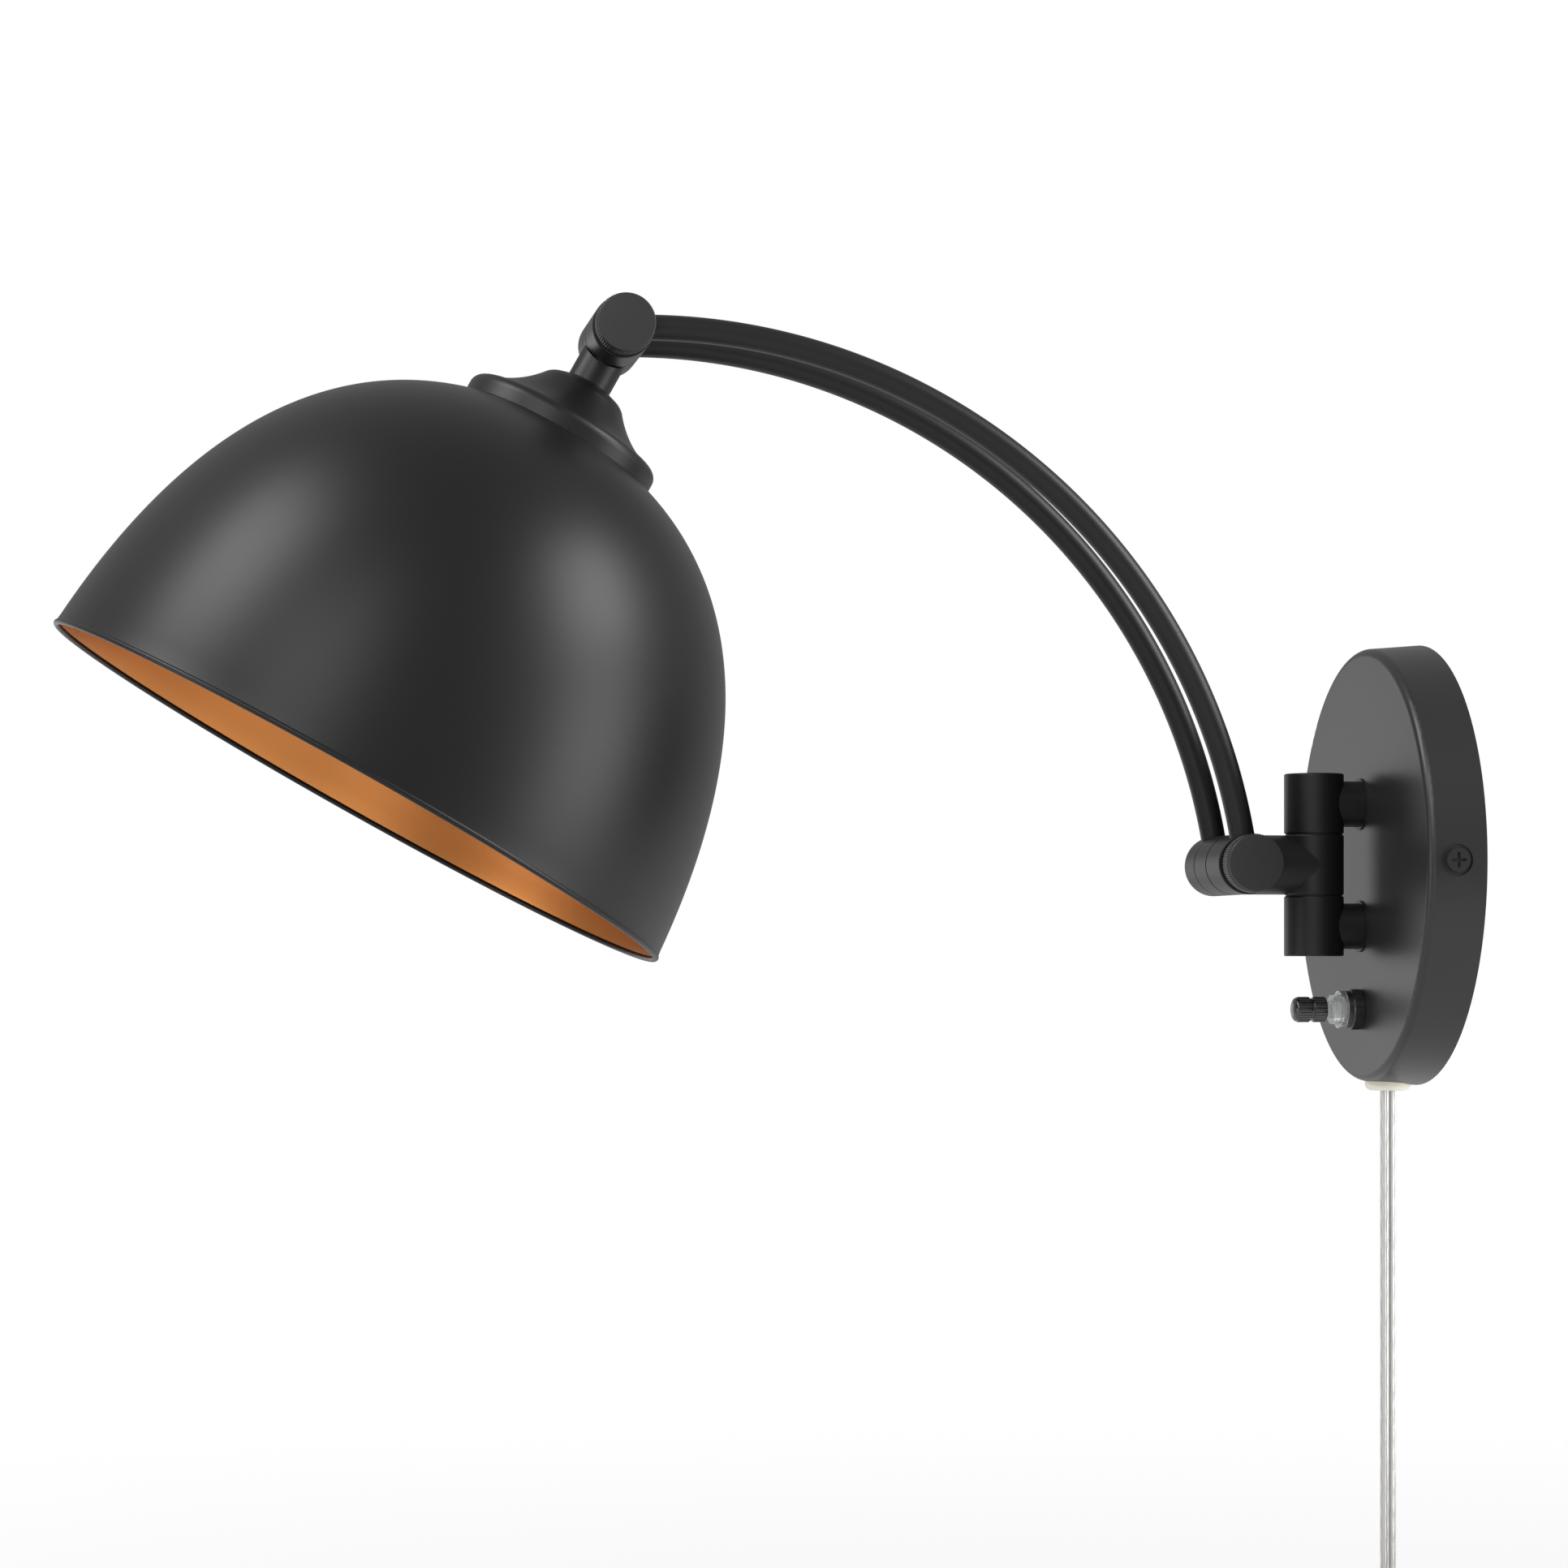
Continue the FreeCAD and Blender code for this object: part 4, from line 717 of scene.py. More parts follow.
    def build(self) -> None:
        """Set up the whole studio."""
        bpy.context.scene.view_settings.view_transform = "Standard"
        self.place_camera()
        self.whiten()
        self.lay_floor()
        for name, (bearing, climb, power) in LAMPS.items():
            self.add_lamp(name, bearing, climb, power)


# ---- Ribs by Geometry Nodes ----


@dataclass(frozen=True)
class RibRing:
    """A ring of small rounded ribs, as on a knurled or ribbed grip.

    Args:
        ribs: How many ribs there are.
        reach: The distance of each rib's own middle from the ring's axis, at its foot.
        width: Each rib's thickness.
        length: Each rib's length.
        base: The level at which the ribs start.
        lean: The distance by which each rib leans towards the axis at its top.
    """

    ribs: int
    reach: float
    width: float
    length: float
    base: float = 0.0
    lean: float = 0.0

    def tree(self, finish: Finish) -> bpy.types.NodeTree:
        """Write the node tree that lays the ribs out, with its sizes as named inputs."""
        tree = bpy.data.node_groups.new("rib_ring", "GeometryNodeTree")
        tree.interface.new_socket("Geometry", in_out="OUTPUT", socket_type="NodeSocketGeometry")
        tree.interface.new_socket("Ribs", in_out="INPUT", socket_type="NodeSocketInt")
        for name in ("Reach", "Width", "Length", "Base", "Lean"):
            tree.interface.new_socket(name, in_out="INPUT", socket_type="NodeSocketFloat")
        recipe = Recipe(tree)
        given = recipe.node("NodeGroupInput").outputs
        middle_level = Value(recipe, given["Length"]) * 0.5 + Value(recipe, given["Base"])
        radius = Value(recipe, given["Width"]) * 0.5
        spots = recipe.node("GeometryNodeMeshCircle", Vertices=given["Ribs"], Radius=given["Reach"])
        ends = {"fill_type": "NGON"}
        rod = recipe.node("GeometryNodeMeshCylinder", ends, Vertices=8, Radius=radius, Depth=given["Length"])
        step = recipe.math("DIVIDE", math.tau, Value(recipe, given["Ribs"]))
        turn = step * Value(recipe, recipe.node("GeometryNodeInputIndex").outputs[0])
        tip = recipe.math("ARCTAN2", Value(recipe, given["Lean"]), Value(recipe, given["Length"]))
        euler = recipe.node("ShaderNodeCombineXYZ", Y=tip * -1.0, Z=turn)
        rotation = recipe.node("FunctionNodeEulerToRotation", Euler=euler.outputs[0])
        placed = recipe.node(
            "GeometryNodeInstanceOnPoints", Points=spots.outputs[0], Instance=rod.outputs[0],
            Rotation=rotation.outputs[0],
        )
        lift = recipe.node("ShaderNodeCombineXYZ", Z=middle_level)
        raised = recipe.node("GeometryNodeTransform", Geometry=placed.outputs[0], Translation=lift.outputs[0])
        real = recipe.node("GeometryNodeRealizeInstances", Geometry=raised.outputs[0])
        dressed = recipe.node("GeometryNodeSetMaterial", Geometry=real.outputs[0], Material=finish.material())
        recipe.node("NodeGroupOutput", Geometry=dressed.outputs[0])
        return tree

    def geometry(self, finish: Finish) -> tuple[list[Vector], Faces]:
        """Evaluate the tree and return the ribs' vertices and faces."""
        holder = bpy.data.objects.new("ribs", bpy.data.meshes.new("ribs"))
        bpy.context.scene.collection.objects.link(holder)
        modifier = holder.modifiers.new("ribs", "NODES")
        modifier.node_group = self.tree(finish)
        sizes = {
            "Ribs": self.ribs, "Reach": self.reach, "Width": self.width, "Length": self.length,
            "Base": self.base, "Lean": self.lean,
        }
        for socket in modifier.node_group.interface.items_tree:
            if socket.in_out == "INPUT":
                modifier[socket.identifier] = sizes[socket.name]
        bpy.context.view_layer.update()
        mesh = bpy.data.meshes.new_from_object(holder.evaluated_get(bpy.context.evaluated_depsgraph_get()))
        holder.modifiers.remove(modifier)
        points = [vertex.co.copy() for vertex in mesh.vertices]
        faces = [tuple(polygon.vertices) for polygon in mesh.polygons]
        bpy.data.objects.remove(holder)
        bpy.data.meshes.remove(mesh)
        return points, faces


def joined(*parts: tuple[Sequence[Vector], Faces]) -> tuple[list[Vector], Faces]:
    """Put several sets of vertices and faces together as one."""
    points: list[Vector] = []
    faces: Faces = []
    for more, sides in parts:
        faces += [tuple(corner + len(points) for corner in side) for side in sides]
        points += more
    return points, faces


# ---- Shade, with its lining ----


@dataclass
class ShadeDome:
    """The spun dome: powder coated outside, copper inside, with a rolled rim.

    Args:
        reach: Its outer radius at the rim.
        height: Its height over the rim's plane.
        flare: The angle at which its wall leans out at the rim.
        side_fullness: How far its side stays straight.
        crown_fullness: How far its crown stays flat.
        wall: Its thickness.
        bead: The radius of its rolled rim.
        hole: The radius of the crown's hole.
        lined_from: The level over the rim's plane at which the copper starts.
        inset_share: How much the curve's handles shorten for each unit of inset.
    """

    reach: float = 101.3 * MM
    height: float = 125.8 * MM
    flare: float = math.radians(3.4)
    side_fullness: float = 82.9 * MM
    crown_fullness: float = 60.2 * MM
    wall: float = 0.9 * MM
    bead: float = 0.9 * MM
    hole: float = 5.15 * MM
    lined_from: float = 1.7 * MM
    inset_share: float = 0.55

    def curve(self, inset: float, steps: int = 72) -> list[tuple[float, float]]:
        """Return the dome's curve from the rim to the crown's hole, inset by a distance."""
        reach, crown = self.reach - inset, self.height - inset
        shorter = self.inset_share * inset
        side, top = self.side_fullness - shorter, self.crown_fullness - shorter
        handles = [
            Vector((reach, 0.0)),
            Vector((reach - side * math.sin(self.flare), side * math.cos(self.flare))),
            Vector((top, crown)),
            Vector((0.0, crown)),
        ]
        line = []
        for step in range(steps + 1):
            share = step / steps
            weights = ((1 - share) ** 3, 3 * share * (1 - share) ** 2, 3 * share**2 * (1 - share), share**3)
            point = sum((handle * weight for handle, weight in zip(handles, weights)), Vector((0.0, 0.0)))
            if point.x <= self.hole:
                line.append((self.hole, point.y))
                break
            line.append(tuple(point))
        return line

    def outline(self) -> list[tuple[float, float]]:
        """Return the whole section: outside, rolled rim and inside."""
        outside, inside = self.curve(0.0), self.curve(self.wall)
        centre = Vector((self.reach - self.wall / 2, self.bead))
        join = math.acos(self.wall / 2 / self.bead)
        rim = []
        for step in range(21):
            angle = join - step / 20 * (math.pi + 2 * join)
            rim.append((centre.x + self.bead * math.cos(angle), centre.y + self.bead * math.sin(angle)))
        over = centre.y + self.bead
        outer = [point for point in outside if point[1] > over]
        inner = [point for point in inside if point[1] > over]
        return list(reversed(outer)) + rim + inner + [outer[-1]]

    def build(self) -> None:
        """Make the dome."""

        def lining(face: bmesh.types.BMFace) -> int:
            centre = face.calc_center_median()
            return int(face.normal.dot(centre) < 0 and centre.z > self.lined_from)

        add_piece(
            "spun_shade", turned(self.outline(), 192), (SHADE_OUTSIDE, SHADE_INSIDE), Body.SHADE,
            seat=SHADE_RIM, stands_for=("shade",), choose=lining,
        )


# ---- Bowed tubes ----


@dataclass
class ArmTube:
    """A bowed tube of the arm, from barrel to barrel.

    Args:
        node: The node that it stands for.
        bend: The radius of its bow.
        radius: Its outer radius.
        bore: Its inner radius.
        reach: How far from both pivots it ends, just inside the barrels.
    """

    node: str
    bend: float = 181.0 * MM
    radius: float = 3.8 * MM
    bore: float = 3.0 * MM
    reach: float = 8.4 * MM

    def path(self, steps: int = 96) -> list[Vector]:
        """Return the points that the tube's middle follows."""
        low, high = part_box(self.node)
        bolts = (middle(name) for name in ("lower_clamp_bolt", "upper_clamp_bolt"))
        lower, upper = (Vector(((low.x + high.x) / 2, bolt.y, bolt.z)) for bolt in bolts)
        chord = upper - lower
        inward = Vector((0.0, -chord.z, chord.y)).normalized()
        centre = (lower + upper) / 2 + inward * math.sqrt(self.bend**2 - (chord.length / 2) ** 2)
        start, end = (math.atan2(point.z - centre.z, point.y - centre.y) for point in (lower, upper))
        margin = math.copysign(self.reach / self.bend, end - start)
        angles = (start + margin + (end - start - 2 * margin) * step / steps for step in range(steps + 1))
        return [centre + Vector((0.0, math.cos(angle), math.sin(angle))) * self.bend for angle in angles]

    def build(self, sides: int = 40) -> None:
        """Make the tube's outside, its bore and its two ends."""
        rings = [circle(sides, radius) for radius in (self.radius, self.bore)]
        path, width = self.path(), Vector((1, 0, 0))
        walls = [swept(path, lambda index, ring=ring: ring, width, capped=False) for ring in rings]
        points, faces = joined(*walls)
        bore = len(walls[0][0])
        for start in (0, bore - sides):
            faces += bridged(start, bore + start, sides)
        add_piece(f"{self.node}_smooth", (points, faces), (POWDER,), Body.ARM, stands_for=(self.node,))


# ---- Clamp knobs ----


@dataclass
class ClampKnob:
    """A clamp knob: a plain neck, a finely knurled rim and a flat turned face.

    Args:
        node: The node that it stands for.
        body: The body that it rides on.
        radius: The radius over the knurls.
        neck_radius: The radius of its neck.
        face_radius: The radius of its face.
        knurl_length: The length of the knurled band.
        back: Where the knurled band starts, from the neck's end.
    """

    node: str
    body: Body
    radius: float = 8.85 * MM
    neck_radius: float = 7.2 * MM
    face_radius: float = 8.55 * MM
    knurl_length: float = 5.4 * MM
    back: float = 1.5 * MM

    def build(self) -> None:
        """Turn the blank and lay the knurls round it."""
        low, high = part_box(self.node)
        centre = (low + high) / 2
        seat = Seat((low.x, centre.y, centre.z), Axis.SIDE.value)
        length = high.x - low.x
        core = self.radius - 0.28 * MM
        band_end = self.back + self.knurl_length
        outline = rounded(
            [
                (0.0, 0.0, 0), (self.neck_radius, 0.0, 0.1 * MM), (self.neck_radius, self.back, 0.1 * MM),
                (core - 0.3 * MM, self.back, 0.1 * MM), (core, self.back + 0.35 * MM, 0.1 * MM),
                (core, band_end, 0.1 * MM), (self.face_radius - 0.35 * MM, band_end + 0.3 * MM, 0.1 * MM),
                (self.face_radius - 0.35 * MM, band_end + 0.55 * MM, 0.1 * MM),
                (self.face_radius, band_end + 0.85 * MM, 0.15 * MM), (self.face_radius, length, 0.35 * MM),
                (0.0, length, 0),
            ]
        )
        knurls = RibRing(72, core, 0.56 * MM, self.knurl_length - 0.5 * MM, self.back + 0.45 * MM)
        shape = joined(turned(outline, 144), knurls.geometry(LIT_KNOB_FACE))
        # Each knob's coat keeps that lighter colour, which is painted light, and follows the knob's axis.
        coat = replace(LIT_KNOB_FACE, name=f"lit_turned_coat_{self.node}", seat=seat)
        add_piece(f"{self.node}_turned", shape, (coat,), self.body, seat=seat, stands_for=(self.node,))


# ---- Rotary switch ----


@dataclass
class RotarySwitch:
    """The switch's outside: a knurled ring nut and a ribbed domed knob.

    Args:
        nut_radius: The radius over the nut's ribs.
        knob_radius: The radius over the knob's ribs.
        groove_radius: The radius of the groove between the knob's bands.
        band: The length of each ribbed band.
        groove: The length of the groove.
    """

    nut_radius: float = 6.25 * MM
    knob_radius: float = 3.9 * MM
    groove_radius: float = 3.3 * MM
    band: float = 4.1 * MM
    groove: float = 0.9 * MM

    def build_nut(self) -> None:
        """Make the ring nut with its ribs."""
        low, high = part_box("switch_ring_nut")
        centre = (low + high) / 2
        seat = Seat((centre.x, high.y, centre.z), Axis.OUT.value)
        length = high.y - low.y
        bore, core = 4.92 * MM, self.nut_radius - 0.2 * MM
        outline = rounded(
            [
                (bore, 0.0, 0), (core, 0.0, 0.15 * MM), (core, length * 0.62, 0.1 * MM),
                (core - 0.35 * MM, length * 0.68, 0.1 * MM), (core - 0.35 * MM, length, 0.3 * MM),
                (bore, length, 0.1 * MM), (bore, 0.0, 0),
            ]
        )
        ribs = RibRing(40, core - 0.05 * MM, 0.5 * MM, length * 0.5, 0.35 * MM)
        shape = joined(turned(outline, 96), ribs.geometry(SCREW_COAT))
        nodes = ("switch_ring_nut",)
        add_piece("knurled_ring_nut", shape, (SCREW_COAT,), Body.WALL, seat=seat, stands_for=nodes)

    def build_knob(self) -> None:
        """Make the domed knob with its two ribbed bands."""
        low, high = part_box("switch_knob")
        centre = (low + high) / 2
        seat = Seat((centre.x, high.y, centre.z), Axis.OUT.value)
        length = high.y - low.y
        core = self.knob_radius - 0.2 * MM
        second = self.band + self.groove
        shoulder = second + self.band
        dome = length - shoulder
        outline = rounded(
            [
                (0.0, 0.0, 0), (core, 0.0, 0.3 * MM), (core, self.band, 0.2 * MM),
                (self.groove_radius, self.band + 0.1 * MM, 0.1 * MM),
                (self.groove_radius, second - 0.1 * MM, 0.1 * MM), (core, second, 0.2 * MM),
                (core, shoulder, 0),
            ]
        )
        for step in range(1, 13):
            angle = math.pi / 2 * step / 12
            outline.append((core * math.cos(angle) if step < 12 else 0.0, shoulder + dome * math.sin(angle)))
        bands = [
            RibRing(24, core - 0.03 * MM, 0.46 * MM, self.band - 0.5 * MM, base + 0.25 * MM)
            for base in (0.0, second)
        ]
        shape = joined(turned(outline, 96), *(band.geometry(DIAL_PLASTIC) for band in bands))
        nodes = ("switch_knob",)
        add_piece("ribbed_switch_knob", shape, (DIAL_PLASTIC,), Body.DIAL, seat=seat, stands_for=nodes)

    def build(self) -> None:
        """Make the outside of the switch."""
        self.build_nut()
        self.build_knob()


# ---- Lampholder ----


@dataclass
class Lampholder:
    """The parts of the lampholder that need a finer shape: the rolled screw shell.

    Args:
        pitch: The thread's pitch.
        bore: The thread's mean radius on the inside.
        swell: The thread's height either way.
        wall: The shell's thickness.
        length: The shell's length.
        fade: How far from either end the thread fades out.
    """

    pitch: float = 3.63 * MM
    bore: float = 13.5 * MM
    swell: float = 0.3 * MM
    wall: float = 0.2 * MM
    length: float = 30.0 * MM
    fade: float = 2.2 * MM

    def build(self) -> None:
        """Roll the thread into the shell."""
        low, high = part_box("screw_shell")
        centre = (low + high) / 2
        seat = Seat(tuple(centre), SHADE_DIRECTION).along(-self.length / 2)
        turns, levels = 72, 132
        points: list[Vector] = []
        for side in (0, 1):
            for level in range(levels + 1):
                rise = self.length * level / levels
                swell = self.swell * min(1.0, min(rise, self.length - rise) / self.fade)
                for step, (cos, sin) in enumerate(circle(turns)):
                    wave = swell * math.cos(math.tau * (rise / self.pitch - step / turns))
                    reach = self.bore + wave + side * self.wall
                    points.append(Vector((reach * cos, reach * sin, rise)))
        shell = (levels + 1) * turns
        faces = bridged(0, shell, turns) + bridged(shell - turns, 2 * shell - turns, turns)
        for start in range(0, levels * turns, turns):
            faces += bridged(start, start + turns, turns)
            faces += bridged(shell + start, shell + start + turns, turns)
        shape = (points, faces)
        add_piece("rolled_screw_shell", shape, (BRASS,), Body.SHADE, seat=seat, stands_for=("screw_shell",))


# ---- Wire connectors ----


@dataclass
class WireNuts:
    """The two ribbed twist-on connectors in the canopy.

    Args:
        foot: The radius of a connector's open end.
        tip: The radius of its closed end.
        length: Its length.
        edge: The distance from its axis to the side of the box round both.
        skirt: The length of its smooth foot.
        lip: The thickness of its foot's wall.
        depth: How deep it is open.
    """

    foot: float = 4.4 * MM
    tip: float = 2.6 * MM
    length: float = 17.0 * MM
    edge: float = 4.6 * MM
    skirt: float = 3.0 * MM
    lip: float = 0.8 * MM
    depth: float = 2.5 * MM

    def build(self) -> None:
        """Make both connectors."""
        low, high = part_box("wire_connectors")
        shapes = []
        for side in (-1, 1):
            across = (high.x - low.x) / 2 - self.edge
            centre = (low + high) / 2
            seat = Seat((centre.x + side * across, centre.y, high.z), Axis.DOWN.value)
            outline = rounded(
                [
                    (self.foot - self.lip, 0.0, 0), (self.foot, 0.0, 0.3 * MM),
                    (self.foot, self.skirt, 0.3 * MM),
                    (self.tip, self.length - 0.2 * MM, 0.8 * MM), (0.0, self.length, 0),
                ]
            )
            outline = [(0.0, self.depth), (self.foot - self.lip, self.depth)] + outline
            ribs = RibRing(12, self.foot - 0.25 * MM, 0.8 * MM, self.length - 5 * MM, 3.2 * MM,
                           (self.foot - self.tip) * 0.8)
            points, faces = joined(turned(outline, 72), ribs.geometry(CONNECTOR))
            shapes.append(([seat.matrix() @ point for point in points], faces))
        nodes = ("wire_connectors",)
        add_piece("ribbed_wire_connectors", joined(*shapes), (CONNECTOR,), Body.WALL, stands_for=nodes)


# ---- Cord, coil, tie and plug ----


@dataclass
class PowerCord:
    """The clear twin cord: a straight drop, a put-away coil with a tie, and a plug.

    Args:
        outwards: How far the cord hangs from the wall.
        starts: The level at which the cord starts, inside the canopy.
        leaves: The level at which it leaves the bushing; not used.
        coil_level: The level of the coil's centre.
        coil_radius: The radius of the coil's middle.
        row: Half the distance, across the coil, between neighbouring turns.
        column: Half the distance, along its axis, between neighbouring turns.
        wire_radius: The radius of one of its two wires.
        wire_offset: The distance of each wire's middle from the cord's.
        strand_radius: The radius of the strands inside each wire.
        length: The cord's real length; not used.
        drop_levels: The levels of the control points between the bushing and the coil, in millimetres.
        tail_levels: Those between the coil and the plug, in millimetres.
        per_turn: The control points in each turn of the coil.
        step_over: The shares of a turn between which the cord goes over to its next place.
        twist: The strands' turn from one point to the next, in radians.
        groove: The reach of the grooves between strands, as a share of the radius.
        path: The points that its middle follows, once they are worked out.
    """

    outwards: float = 8.3 * MM
    starts: float = -60.6 * MM
    leaves: float = -69.2 * MM
    coil_level: float = -262.0 * MM
    coil_radius: float = 28.0 * MM
    row: float = 1.4 * MM
    column: float = 2.65 * MM
    wire_radius: float = 1.35 * MM
    wire_offset: float = 1.2 * MM
    strand_radius: float = 0.72 * MM
    length: float = 1.83
    drop_levels: tuple[float, ...] = (-90.0, -150.0, -205.0, -240.0)
    tail_levels: tuple[float, ...] = (-276.0, -290.0, -303.0, -314.0)
    per_turn: int = 16
    step_over: tuple[float, float] = (0.62, 0.88)
    twist: float = 0.22
    groove: float = 0.82
    path: list[Vector] = field(default_factory=list)

    def slots(self) -> list[tuple[int, int]]:
        """Return each turn's place in the bundle, in rows outwards and columns towards the wall."""
        rear = [(3, 1), (1, 2), (-1, 1), (-3, 1)]
        front = [(-3, -1), (-1, -1), (1, 0), (1, -2), (3, -1)]
        return rear + front

    def route(self) -> list[Vector]:
        """Return the control points of the whole cord."""
        levels = (self.starts, *(level * MM for level in self.drop_levels))
        drop = [Vector((0, -self.outwards, level)) for level in levels]
        centre = Vector((self.coil_radius + 3 * self.row, -self.outwards - self.column, self.coil_level))
        slots = self.slots()
        cut_in = 0.75 + 0.25 * math.cos(math.tau / self.per_turn)
        leave, arrive = self.step_over
        turns = []
        for step in range(len(slots) * self.per_turn + 1):
            turn, part = divmod(step, self.per_turn)
            share = min(max((part / self.per_turn - leave) / (arrive - leave), 0.0), 1.0)
            now = slots[min(turn, len(slots) - 1)]
            then = slots[min(turn + 1, len(slots) - 1)]
            row, column = (a + (b - a) * share for a, b in zip(now, then))
            reach = (self.coil_radius + row * self.row) / cut_in
            angle = math.pi + math.tau * part / self.per_turn
            spoke = (reach * math.cos(angle), column * self.column, reach * math.sin(angle))
            turns.append(centre + Vector(spoke))
        end = -self.outwards - 2 * self.column
        tail = [Vector((0, end, level * MM)) for level in self.tail_levels]
        return drop + turns + tail

    def smooth(self, points: Sequence[Vector]) -> list[Vector]:
        """Return the points of the smooth spline that has these control points."""
        curve = bpy.data.curves.new("cord_line", "CURVE")
        curve.dimensions = "3D"
        spline = curve.splines.new("NURBS")
        spline.points.add(len(points) - 1)
        for control, point in zip(spline.points, points):
            control.co = (*point, 1.0)
        spline.order_u = 3
        spline.use_endpoint_u = True
        spline.resolution_u = 6
        holder = bpy.data.objects.new("cord_line", curve)
        bpy.context.scene.collection.objects.link(holder)
        bpy.context.view_layer.update()
        line = bpy.data.meshes.new_from_object(holder.evaluated_get(bpy.context.evaluated_depsgraph_get()))
        smooth = [vertex.co.copy() for vertex in line.vertices]
        bpy.data.objects.remove(holder)
        bpy.data.curves.remove(curve)
        bpy.data.meshes.remove(line)
        return smooth

    def jacket_section(self, steps: int = 20) -> Profile:
        """Return the outline of two round wires that are moulded together."""
        outline = []
        for across, through in circle(steps):
            lift = self.wire_offset * through
            reach = self.wire_offset * abs(across) + math.sqrt(self.wire_radius**2 - lift**2)
            outline.append((reach * across, reach * through))
        return outline

    def strand_section(self, side: float, index: int, lobes: int = 6) -> Profile:
        """Return the outline of a bundle of strands, turned a little further at each point."""
        outline = []
        for step in range(2 * lobes):
            angle = math.tau * step / (2 * lobes) + index * self.twist
            reach = self.strand_radius * (self.groove if step % 2 else 1.0)
            outline.append((side + reach * math.cos(angle), reach * math.sin(angle)))
        return outline

    def even(self, spacing: float) -> list[Vector]:
        """Return points at about equal distances along the cord."""
        chosen = [self.path[0]]
        for start, end in zip(self.path, self.path[1:]):
            gap = (end - start).length
            parts = max(1, round(gap / spacing))
            chosen += [start.lerp(end, step / parts) for step in range(1, parts + 1)]
        return chosen

    def build_cord(self) -> None:
        self.path = self.smooth(self.route())
        width = Vector((0, 1, 0))
        outline = self.jacket_section()
        nodes = ("cord", "cord_coil", "cord_tail")
        shape = swept(self.path, lambda index: outline, width)
        jacket = add_piece("cord_jacket", shape, (CORD_JACKET,), Body.WALL, stands_for=nodes)
        fine = self.even(1.6 * MM)
        for side, label in ((-self.wire_offset, "near"), (self.wire_offset, "far")):
            shape = swept(fine, lambda index, side=side: self.strand_section(side, index), width)
            add_piece(f"cord_strands_{label}", shape, (STRANDS,), Body.WALL, sharp_angle=80)

    def build_plug(self) -> bpy.types.Object:
        """Make the moulded plug with its ribbed grip."""
        low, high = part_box("plug")
        wide, thick = (high.y - low.y) / 2, (high.x - low.x) / 2
        tall = high.z - low.z
        stations = [
            (-0.42, 0.17, 0.28), (-0.40, 0.19, 0.31), (-0.30, 0.2, 0.32), (-0.29, 0.17, 0.28),
            (-0.25, 0.17, 0.28), (-0.24, 0.21, 0.34), (-0.14, 0.23, 0.37), (-0.13, 0.19, 0.31),
            (-0.09, 0.19, 0.31), (-0.08, 0.26, 0.42), (0.0, 0.42, 0.6), (0.06, 0.62, 0.76),
            (0.14, 0.8, 0.88), (0.24, 0.93, 0.95), (0.34, 0.985, 0.985), (0.42, 1.0, 1.0),
            (0.62, 1.0, 1.0), (0.78, 0.985, 0.98), (0.92, 0.97, 0.96), (0.98, 0.955, 0.93),
            (1.0, 0.91, 0.86),
        ]
        steps = 48
        points: list[Vector] = []
        centre = (low + high) / 2
        for share, across, through in stations:
            power = 2 / (2.2 + 2.6 * max(share, 0.0) ** 0.5)
            for cos, sin in circle(steps):
                side, face = (math.copysign(abs(part) ** power, part) for part in (cos, sin))
                x, y = centre.x + thick * through * face, centre.y + wide * across * side
                points.append(Vector((x, y, high.z - tall * share)))
        faces = [tuple(range(steps)), tuple(range(len(points) - steps, len(points)))]
        for ring in range(len(stations) - 1):
            faces += bridged(ring * steps, (ring + 1) * steps, steps)
        shape = (points, faces)
        return add_piece("moulded_plug", shape, (CLEAR,), Body.WALL, stands_for=("plug",), sharp_angle=50)

    def build_blades(self) -> bpy.types.Object:
        """Make the two flat blades, each with a round hole near its bevelled tip."""
        low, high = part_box("plug_blades")
        thick, half_wide = 1.5 * MM, (high.x - low.x) / 2
        hole, hole_up, bevel = 1.6 * MM, 5.2 * MM, 1.6 * MM
        steps = 48
        points: list[Vector] = []
        faces: Faces = []
        for centre_y in (low.y + thick / 2, high.y - thick / 2):
            first = len(points)
            for side in (-thick / 2, thick / 2):
                for cos, sin in circle(steps):
                    points.append(Vector((hole * cos, centre_y + side, low.z + hole_up + hole * sin)))
                for cos, sin in circle(steps):
                    rise = high.z - low.z - hole_up if sin > 0 else hole_up
                    limits = ((half_wide, abs(cos)), (rise, abs(sin)))
                    reach = min(room / share for room, share in limits if share > 1e-6)
                    z = hole_up + reach * sin
                    tip = max(0.0, (bevel - z) / bevel)
                    x, y = reach * cos * (1.0 - 0.3 * tip), side * (1.0 - 0.45 * tip)
                    points.append(Vector((x, centre_y + y, low.z + z)))
            for start, end in ((0, 1), (2, 3), (0, 2), (1, 3)):
                faces += bridged(first + start * steps, first + end * steps, steps)
        return add_piece("plug_blade_pair", (points, faces), (BRASS,), Body.WALL, stands_for=("plug_blades",))

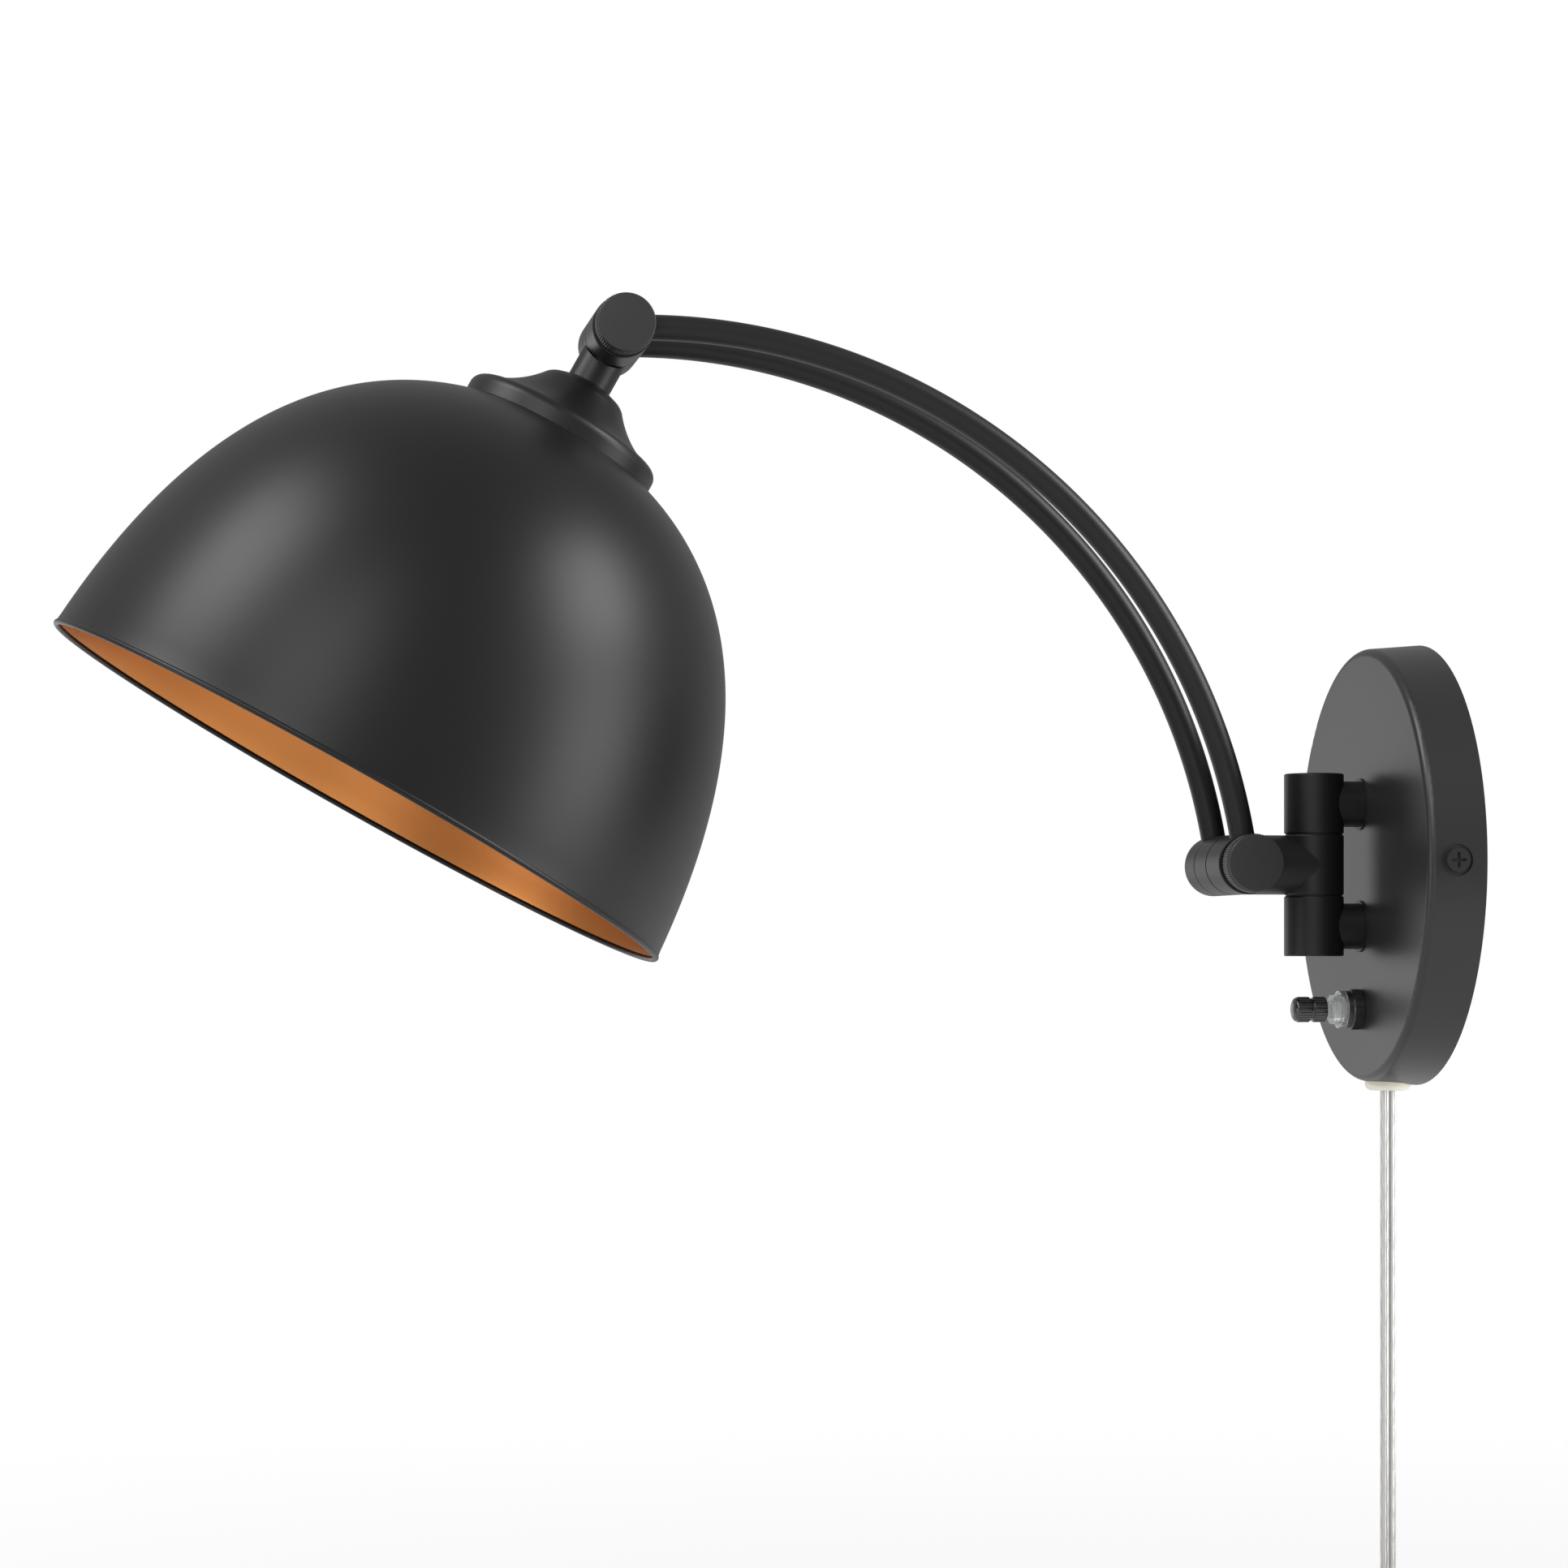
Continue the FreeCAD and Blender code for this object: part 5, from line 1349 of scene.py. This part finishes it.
    def build_tie(self) -> bpy.types.Object:
        """Make the tie: a flat band round the coil and its two twisted ends."""
        low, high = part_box("cord_tie")
        centre = (low + high) / 2
        outer = (high.y - low.y) / 2
        inner, half = outer - 0.8 * MM, (high.x - low.x) / 2 * 0.75
        band = rounded(
            [
                (inner, 0.0, 0), (inner, -half, 0.25 * MM), (outer, -half, 0.35 * MM),
                (outer, half, 0.35 * MM), (inner, half, 0.25 * MM), (inner, 0.0, 0),
            ]
        )
        points, faces = turned(band, 72)
        turn = Seat(tuple(centre), Axis.SIDE.value).matrix()
        parts = [([turn @ point for point in points], faces)]
        start = centre + Vector((0, -outer, 0))
        length, turns, spread = 16 * MM, 3.2, 0.9 * MM
        lean = Vector((0, 0.7, -0.4)).normalized()
        wide, thick = 1.1 * MM, 0.28 * MM
        strip = [(-wide, -thick), (wide, -thick), (wide, thick), (-wide, thick)]
        for lead in (0.0, math.pi):
            path = []
            for step in range(41):
                share = step / 40
                angle = lead + share * turns * math.tau
                apart = spread * (1 + 1.6 * max(0.0, share - 0.8) * 5)
                out, down = -0.4 * MM - length * share * 0.5, -length * share * 0.8
                middle_line = start + Vector((apart * math.cos(angle), out, down))
                path.append(middle_line + lean * apart * math.sin(angle))
            parts.append(swept(path, lambda index: strip, Vector((1, 0, 0))))
        return add_piece("cord_twist_tie", joined(*parts), (NYLON,), Body.WALL, stands_for=("cord_tie",))

    def build(self) -> None:
        """Make the plug, the blades, the tie and the cord."""
        plug = self.build_plug()
        blades = self.build_blades()
        tie = self.build_tie()
        self.build_cord()


def main() -> None:
    """Build the scene in order."""
    logging.basicConfig(level=logging.INFO, format="%(name)s: %(message)s")
    Studio().build()
    dress_frame()
    PowerCord().build()
    ShadeDome().build()
    ArmTube("tube_front").build()
    ArmTube("tube_rear").build()
    ClampKnob("lower_clamp_knob", Body.LOWER_KNOB).build()
    ClampKnob("upper_clamp_knob", Body.UPPER_KNOB).build()
    RotarySwitch().build()
    Lampholder().build()
    WireNuts().build()


if __name__ == "__main__":
    main()
